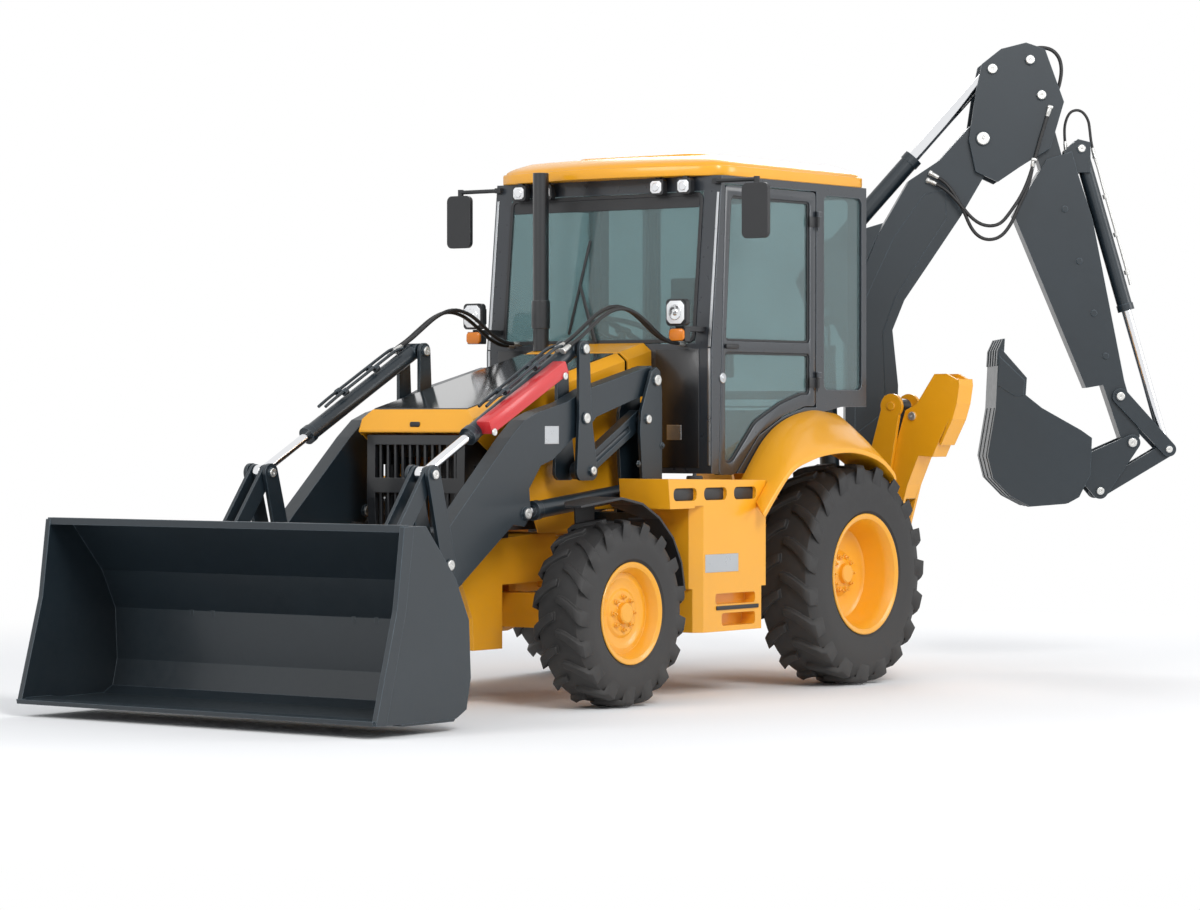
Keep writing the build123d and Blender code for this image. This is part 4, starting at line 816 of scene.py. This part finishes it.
# hoses: each with its route, its thickness, the body or the two bodies it follows, and its end fittings
hoses = {
    "elbowHose_0": {"size": 0.022, "bodies": ("boom", "dipper"), "turn": (0.78, 1.08), "route": (
        (0.56, 0.118, 3.085), (0.62, 0.14, 3.05), (0.677, 0.158, 2.985), (0.745, 0.166, 2.87),
        (0.795, 0.168, 2.745), (0.85, 0.168, 2.685), (0.92, 0.168, 2.668), (0.995, 0.168, 2.695),
        (1.058, 0.166, 2.785), (1.098, 0.162, 2.885), (1.15, 0.16, 2.985), (1.175, 0.158, 3.075),
        (1.19, 0.156, 3.16))},
    "elbowHose_1": {"size": 0.022, "bodies": ("boom", "dipper"), "turn": (0.78, 1.08), "route": (
        (0.545, 0.118, 3.04), (0.6, 0.142, 3.015), (0.665, 0.16, 2.965), (0.74, 0.168, 2.88),
        (0.795, 0.172, 2.812), (0.855, 0.172, 2.768), (0.92, 0.172, 2.755), (0.985, 0.172, 2.772),
        (1.045, 0.168, 2.845), (1.125, 0.164, 2.965), (1.18, 0.16, 3.11), (1.228, 0.158, 3.29),
        (1.262, 0.156, 3.4), (1.29, 0.154, 3.49))},
    "headHose": {"size": 0.024, "bodies": ("dipper",), "route": (
        (1.15, 0.05, 3.862), (1.205, 0.052, 3.882), (1.262, 0.054, 3.888), (1.322, 0.056, 3.872),
        (1.366, 0.058, 3.822), (1.38, 0.06, 3.745), (1.366, 0.06, 3.655), (1.342, 0.06, 3.59),
        (1.318, 0.06, 3.53))},
    "ramHose": {"size": 0.018, "bodies": ("dipper_slide",), "route": (
        (1.412, 0.0, 3.255), (1.404, 0.0, 3.33), (1.406, 0.0, 3.415), (1.44, 0.0, 3.492),
        (1.508, 0.0, 3.5), (1.556, 0.0, 3.44), (1.566, 0.0, 3.36), (1.574, 0.0, 3.285),
        (1.592, 0.0, 3.215))},
}
armRoute = ((1.142, 1.985), (1.205, 1.987), (1.285, 1.996), (1.385, 2.034), (1.485, 2.096), (1.605, 2.156),
            (1.745, 2.178), (1.885, 2.138), (2.015, 2.062), (2.11, 2.004), (2.185, 1.968), (2.25, 1.936))


def tube(points, size, sections=5):  # a round tube along a smooth line, and the points that the line passes
    line = bpy.data.curves.new("line", "CURVE")
    line.dimensions = "3D"
    line.resolution_u = sections
    spline = line.splines.new("NURBS")
    spline.points.add(len(points) - 1)
    for point, at in zip(spline.points, points):
        point.co = (*at, 1)
    spline.order_u = 3
    spline.use_endpoint_u = True
    holder = addObject("line", line)
    path = [vertex.co.copy() for vertex in bpy.data.meshes.new_from_object(holder).vertices]
    line.bevel_depth = size / 2
    line.bevel_resolution = 3
    line.use_fill_caps = True
    piece = addObject("tube", bpy.data.meshes.new_from_object(holder))
    bpy.data.objects.remove(holder)
    editMesh(piece)
    closeUp()
    return piece, path


def fitting(at, along, size):  # a crimped sleeve with its hexagon nut
    sleeve = lathe([(-0.006, 0.0), (-0.006, 0.5 * size), (-0.004, 0.66 * size), (0.03, 0.66 * size),
                    (0.034, 0.56 * size), (0.046, 0.56 * size), (0.046, 0.0)], 24)
    nut = lathe([(-0.024, 0.0), (-0.024, 0.78 * size), (-0.021, 0.86 * size), (-0.009, 0.86 * size),
                 (-0.006, 0.78 * size), (-0.006, 0.0)], 6)
    both = joinAll([sleeve, nut])
    both.matrix_world = alongAxis(at, along)
    return both


def layHose(name, points, size, bodies):
    piece, path = tube(points, size)
    for body, at, toward, which in ((bodies[0], path[0], path[1], 0), (bodies[-1], path[-1], path[-2], 1)):
        end = fitting(at, (toward - at).normalized(), size)
        settle(end, f"{name}_end_{which}", "zinc", body)
    dress(piece, name, "hoseRubber", 50)
    if len(bodies) == 2:
        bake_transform(piece)
    else:
        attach(piece, bodies[0])


for name, hose in hoses.items():
    layHose(name, [hoePlace(*point) for point in hose["route"]], hose["size"], hose["bodies"])
for name, sign in sides.items():
    for number, across in enumerate((0.572, 0.612)):
        points = [place(x, sign * across, z - 0.012 * number) for x, z in armRoute]
        layHose(f"armHose_{name}_{number}", points, 0.022, ("chassis", "loader_arms"))
print("hoses ready")

# steel pipes along the tilt cylinders and the bucket cylinder
tiltRoute = ((2.24, 1.944), (2.28, 1.94), (2.34, 1.912), (2.6, 1.777), (2.86, 1.642), (2.9, 1.616))
ramRoute = ((1.596, 3.19), (1.612, 3.15), (1.64, 3.04), (1.735, 2.712), (1.815, 2.43), (1.822, 2.395))


def pipe(name, body, points, size, finish, clamps):
    piece = tube(points, size, 3)[0]
    along = (points[-1] - points[0]).normalized()
    parts = [piece]
    for share in clamps:
        clamp = [(-0.014, 0.5 * size), (-0.014, 1.1 * size), (0.014, 1.1 * size), (0.014, 0.5 * size),
                 (-0.014, 0.5 * size)]
        parts.append(turned(clamp, 20, points[0].lerp(points[-1], share), along))
    return settle(joinAll(parts), name, finish, body, 40)


for name, sign in sides.items():
    for number, across in enumerate((0.535, 0.585)):
        points = [place(x, sign * across, z) for x, z in tiltRoute]
        pipe(f"tiltPipe_{name}_{number}", "tilt_barrels", points, 0.018, "slatePaint", (0.35, 0.75))
pipe("ramPipe", "hoe_barrel", [hoePlace(u, 0, z) for u, z in ramRoute], 0.016, "zinc", (0.3, 0.6, 0.9))
print("pipes ready")

# cab front: seal, wiper, dark panels with a blank plate, visor band and bright edge strips
cabFront = {"face": 1.14, "panelAt": 0.57, "panelHalf": 0.15, "stripAt": 0.789, "stripHalf": 0.008}
screenLean = Vector((-0.0994, 0, 0.995))
screen = plane(place(1.1345, 0, 1.977), leftward, screenLean)
stripPlanes = (((-0.69, -0.03), acrossPlane(cabFront["face"]) @ Matrix.Translation((0, 1.977, 0))),
               ((0.0, 0.88), plane(place(1.1385, 0, 1.955), leftward, screenLean)))
seal = ring(rectangle(-0.689, 0.003, 0.689, 0.862), 0.007, screen, 0.02, 0.045)
settle(seal, "screenSeal")
band = plate([(-0.66, 0.775), (0.66, 0.775), (0.672, 0.846), (-0.672, 0.846)], 0.002, screen)
settle(band, "visorBand")
blade = plate([(-0.21, 0.06), (-0.195, 0.056), (-0.08, 0.6), (-0.095, 0.604)], 0.012,
              screen @ Matrix.Translation((0, 0, 0.004)), 0.003)
wiperArm = plate([(-0.016, 0.01), (0.012, 0.01), (-0.13, 0.352), (-0.146, 0.348)], 0.01,
                 screen @ Matrix.Translation((0, 0, 0.014)), 0.003)
settle(joinAll([blade, wiperArm]), "screenWiper")
for name, sign in sides.items():
    middle = sign * cabFront["panelAt"]
    outline = rectangle(middle - cabFront["panelHalf"], 1.275, middle + cabFront["panelHalf"], 1.945)
    panel = plate(outline, 0.004, acrossPlane(cabFront["face"]), 0.001)
    settle(panel, "frontPanel_" + name, "blackPaint")
    middle = sign * cabFront["stripAt"]
    strips = []
    for (low, high), where in stripPlanes:
        outline = rectangle(middle - cabFront["stripHalf"], low, middle + cabFront["stripHalf"], high)
        strips.append(plate(outline, 0.002, where))
    settle(joinAll(strips), "edgeStrip_" + name, "paleMetal")
blank = plate(rectangle(0.5, 1.43, 0.6, 1.515), 0.002, acrossPlane(cabFront["face"] + 0.004))
settle(blank, "blankPlate", "paleMetal")
print("cab front ready")

# rear fenders: smooth shells over the wheels, from the cab's side to a thin outer lip
fender = {
    "inner": 0.812, "outer": 1.11, "steps": 5, "crown": 0.012,
    "innerTop": ((0.862, 1.204), (0.638, 1.429), (0.42, 1.545), (0.169, 1.598), (-0.02, 1.592),
                 (-0.208, 1.552), (-0.463, 1.364), (-0.5, 1.25)),
    "outerTop": ((1.075, 1.015), (0.81, 1.255), (0.6, 1.335), (0.39, 1.372), (0.12, 1.378), (-0.145, 1.325),
                 (-0.3, 1.24), (-0.33, 1.19)),
    "innerLow": ((0.862, 1.172), (0.7, 1.27), (0.5, 1.326), (0.3, 1.348), (0.05, 1.35), (-0.145, 1.315),
                 (-0.33, 1.218), (-0.44, 1.14)),
    "outerLow": ((1.052, 0.992), (0.795, 1.229), (0.592, 1.306), (0.388, 1.342), (0.12, 1.35),
                 (-0.132, 1.302), (-0.28, 1.222), (-0.306, 1.18)),
}


def smoothLine(points, steps):  # points along a curve that passes through the given ones
    line = []
    for number in range(len(points) - 1):
        a, b, c, d = (Vector(points[min(max(number + near, 0), len(points) - 1)]) for near in (-1, 0, 1, 2))
        for step in range(steps):
            t = step / steps
            line.append(0.5 * (2 * b + (c - a) * t + (2 * a - 5 * b + 4 * c - d) * t ** 2
                               + (3 * b - a - 3 * c + d) * t ** 3))
    return line + [Vector(points[-1])]


for name, sign in sides.items():
    top, low, outTop, outLow = (smoothLine(fender[key], fender["steps"])
                                for key in ("innerTop", "innerLow", "outerTop", "outerLow"))
    section = top + low[::-1]
    outSection = outTop + outLow[::-1]
    wide = fender["outer"] - fender["inner"]
    shell = plate([tuple(point) for point in section], wide, sidePlane(sign * fender["inner"]))
    editMesh(shell)
    for share in (0.25, 0.5, 0.75):
        sliceAt(shell.matrix_world @ Vector((0, 0, share * wide)), (0, 1, 0))
    bpy.ops.object.mode_set(mode="OBJECT")
    for vertex in shell.data.vertices:
        flat = Vector((vertex.co.x, vertex.co.y))
        index = min(range(len(section)), key=lambda number: (section[number] - flat).length)
        share = vertex.co.z / wide
        moved = section[index].lerp(outSection[index], share)
        lift = fender["crown"] * math.sin(math.pi * share) if index < len(top) else 0
        vertex.co = Vector((moved.x, moved.y + lift, -sign * vertex.co.z))
    shell.data.update()
    editMesh(shell)
    closeUp()
    joinAll([shell])
    cutOut(shell, centred(rectangle(0.897, 0.9, 1.3, 1.25), 0.3, 0.0, sign * 0.866))
    bevelEdges(shell, 0.006)
    settle(shell, "fenderShell_" + name, "yellowPaint", "chassis", 40)
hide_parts("rear_fenders")
print("fenders ready")

# roof: a bowed front, a rounded crown and a raised middle
roof = {"half": 0.815, "nose": 0.76, "front": 1.04, "bow": 1.18, "back": -0.47, "low": 2.925, "high": 2.985}
swingRadius = (roof["nose"] ** 2 + (roof["bow"] - roof["front"]) ** 2) / (2 * (roof["bow"] - roof["front"]))
outline = []
for number in range(17):
    y = roof["nose"] * (number / 8 - 1)
    outline.append((roof["bow"] - swingRadius + math.sqrt(swingRadius ** 2 - y ** 2), y))
corner = [(1.005, 0.79), (0.96, 0.807), (0.9, roof["half"]), (-0.38, roof["half"]), (-0.43, 0.802),
          (-0.46, 0.775), (roof["back"], 0.735)]
outline += corner + [(x, -y) for x, y in reversed(corner)]
rim = plate(outline, roof["high"] - roof["low"], levelPlane(roof["low"]), 0.008)
crown = plate(outline, 0.065, levelPlane(roof["high"] - 0.001))
editMesh(crown)
for high in (0.012, 0.024, 0.036, 0.047, 0.056, 0.062):
    sliceAt(crown.matrix_world @ Vector((0, 0, high)), (0, 0, 1))
bpy.ops.object.mode_set(mode="OBJECT")
for vertex in crown.data.vertices:
    inset = 0.012 + 0.118 * (1 - math.cos(0.5 * math.pi * vertex.co.z / 0.065))
    vertex.co.x = 0.335 + (vertex.co.x - 0.335) * (1 - inset / 0.8)
    vertex.co.y *= 1 - inset / 0.8
raised = cornersRounded(plate(rectangle(-0.12, -0.45, 0.78, 0.45), 0.034,
                              levelPlane(3.046)), 0.11)
bevelEdges(raised, 0.026, 4)
settle(joinAll([rim, crown, raised]), "roofShell", "yellowPaint", "chassis", 35)
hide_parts("cab_roof")
print("roof ready")

# blank plates, tread bars, slots, caps and bolts
sidePlates = {  # body, finish, from and to this distance from the middle, bevel, rectangles forward and up
    "armPlate": ("loader_arms", "paleMetal", 0.608, 0.61, 0.0, ((2.3, 1.414, 2.424, 1.511),)),
    "tankPlate": ("chassis", "paleMetal", 1.014, 1.016, 0.0, ((1.18, 0.7, 1.5, 0.8),)),
    "treadBar": ("chassis", "blackPlastic", 1.014, 1.022, 0.002, ((0.985, 0.489, 1.395, 0.511),)),
    "platformSlots": ("chassis", "blackPlastic", 0.992, 0.996, 0.001, (
        (1.008, 1.102, 1.212, 1.168), (1.298, 1.102, 1.502, 1.168), (1.588, 1.102, 1.792, 1.168))),
}
mirror = {"x": 1.0605, "y": 1.062, "half": 0.062}
boltLook = {"tower": 0.012, "towerAt": ((1.395, 1.1), (1.395, 1.4), (1.6, 1.0), (1.62, 1.3)),
            "towerSide": 0.645, "bucket": 0.016, "bucketCount": 9, "bucketHalf": 1.06,
            "bucketAt": (4.24, 0.062)}
tankCap = {"at": (1.44, 0.9, 1.206), "profile": (
    (0.0, 0.0), (0.0, 0.046), (0.022, 0.046), (0.028, 0.04), (0.028, 0.012), (0.04, 0.01), (0.04, 0.0))}


def bolt(size):  # a hexagon head on its washer
    return lathe([(0.0, 0.0), (0.0, 1.7 * size), (0.003, 1.7 * size), (0.004, size), (0.011, size),
                  (0.013, 0.85 * size), (0.013, 0.0)], 6)


for name, sign in sides.items():
    for kind, (body, finish, inner, outer, bevel, outlines) in sidePlates.items():
        parts = [sideSlab(rectangle(*outline), inner, outer, sign, bevel) for outline in outlines]
        settle(joinAll(parts), f"{kind}_{name}", finish, body)
    x, y, z = tankCap["at"]
    cap = turned(tankCap["profile"], 28, place(x, sign * y, z), upward)
    settle(cap, "tankCap_" + name)
    places = [alongAxis(place(x, sign * boltLook["towerSide"], z), Vector((0, sign, 0)))
              for x, z in boltLook["towerAt"]]
    settle(repeat(bolt(boltLook["tower"]), places), "towerBolts_" + name, "slatePaint")
x, z = boltLook["bucketAt"]
places = []
for number in range(boltLook["bucketCount"]):
    y = boltLook["bucketHalf"] * (2 * number / (boltLook["bucketCount"] - 1) - 1)
    places.append(alongAxis(place(x, y, z), upward))
settle(repeat(bolt(boltLook["bucket"]), places), "bucketBolts", "slatePaint", "loader_bucket")
outline = [(-0.03, -0.014), (0.03, -0.014), (0.034, 0.0), (0.03, 0.014), (-0.03, 0.014), (-0.034, 0.0)]
latch = plate(outline, 0.01,
              acrossPlane(2.7775) @ Matrix.Translation((0, 1.52, 0)), 0.003)
settle(latch, "hoodLatch", "blackPlastic", "hood")
for name, sign in sides.items():
    middle = sign * mirror["y"]
    outline = rectangle(middle - mirror["half"], 2.59, middle + mirror["half"], 2.842)
    glassPlate = plate(outline, 0.002, acrossPlane(mirror["x"]))
    settle(cornersRounded(glassPlate, 0.016), "mirrorGlass_" + name, "chrome")
print("details ready")
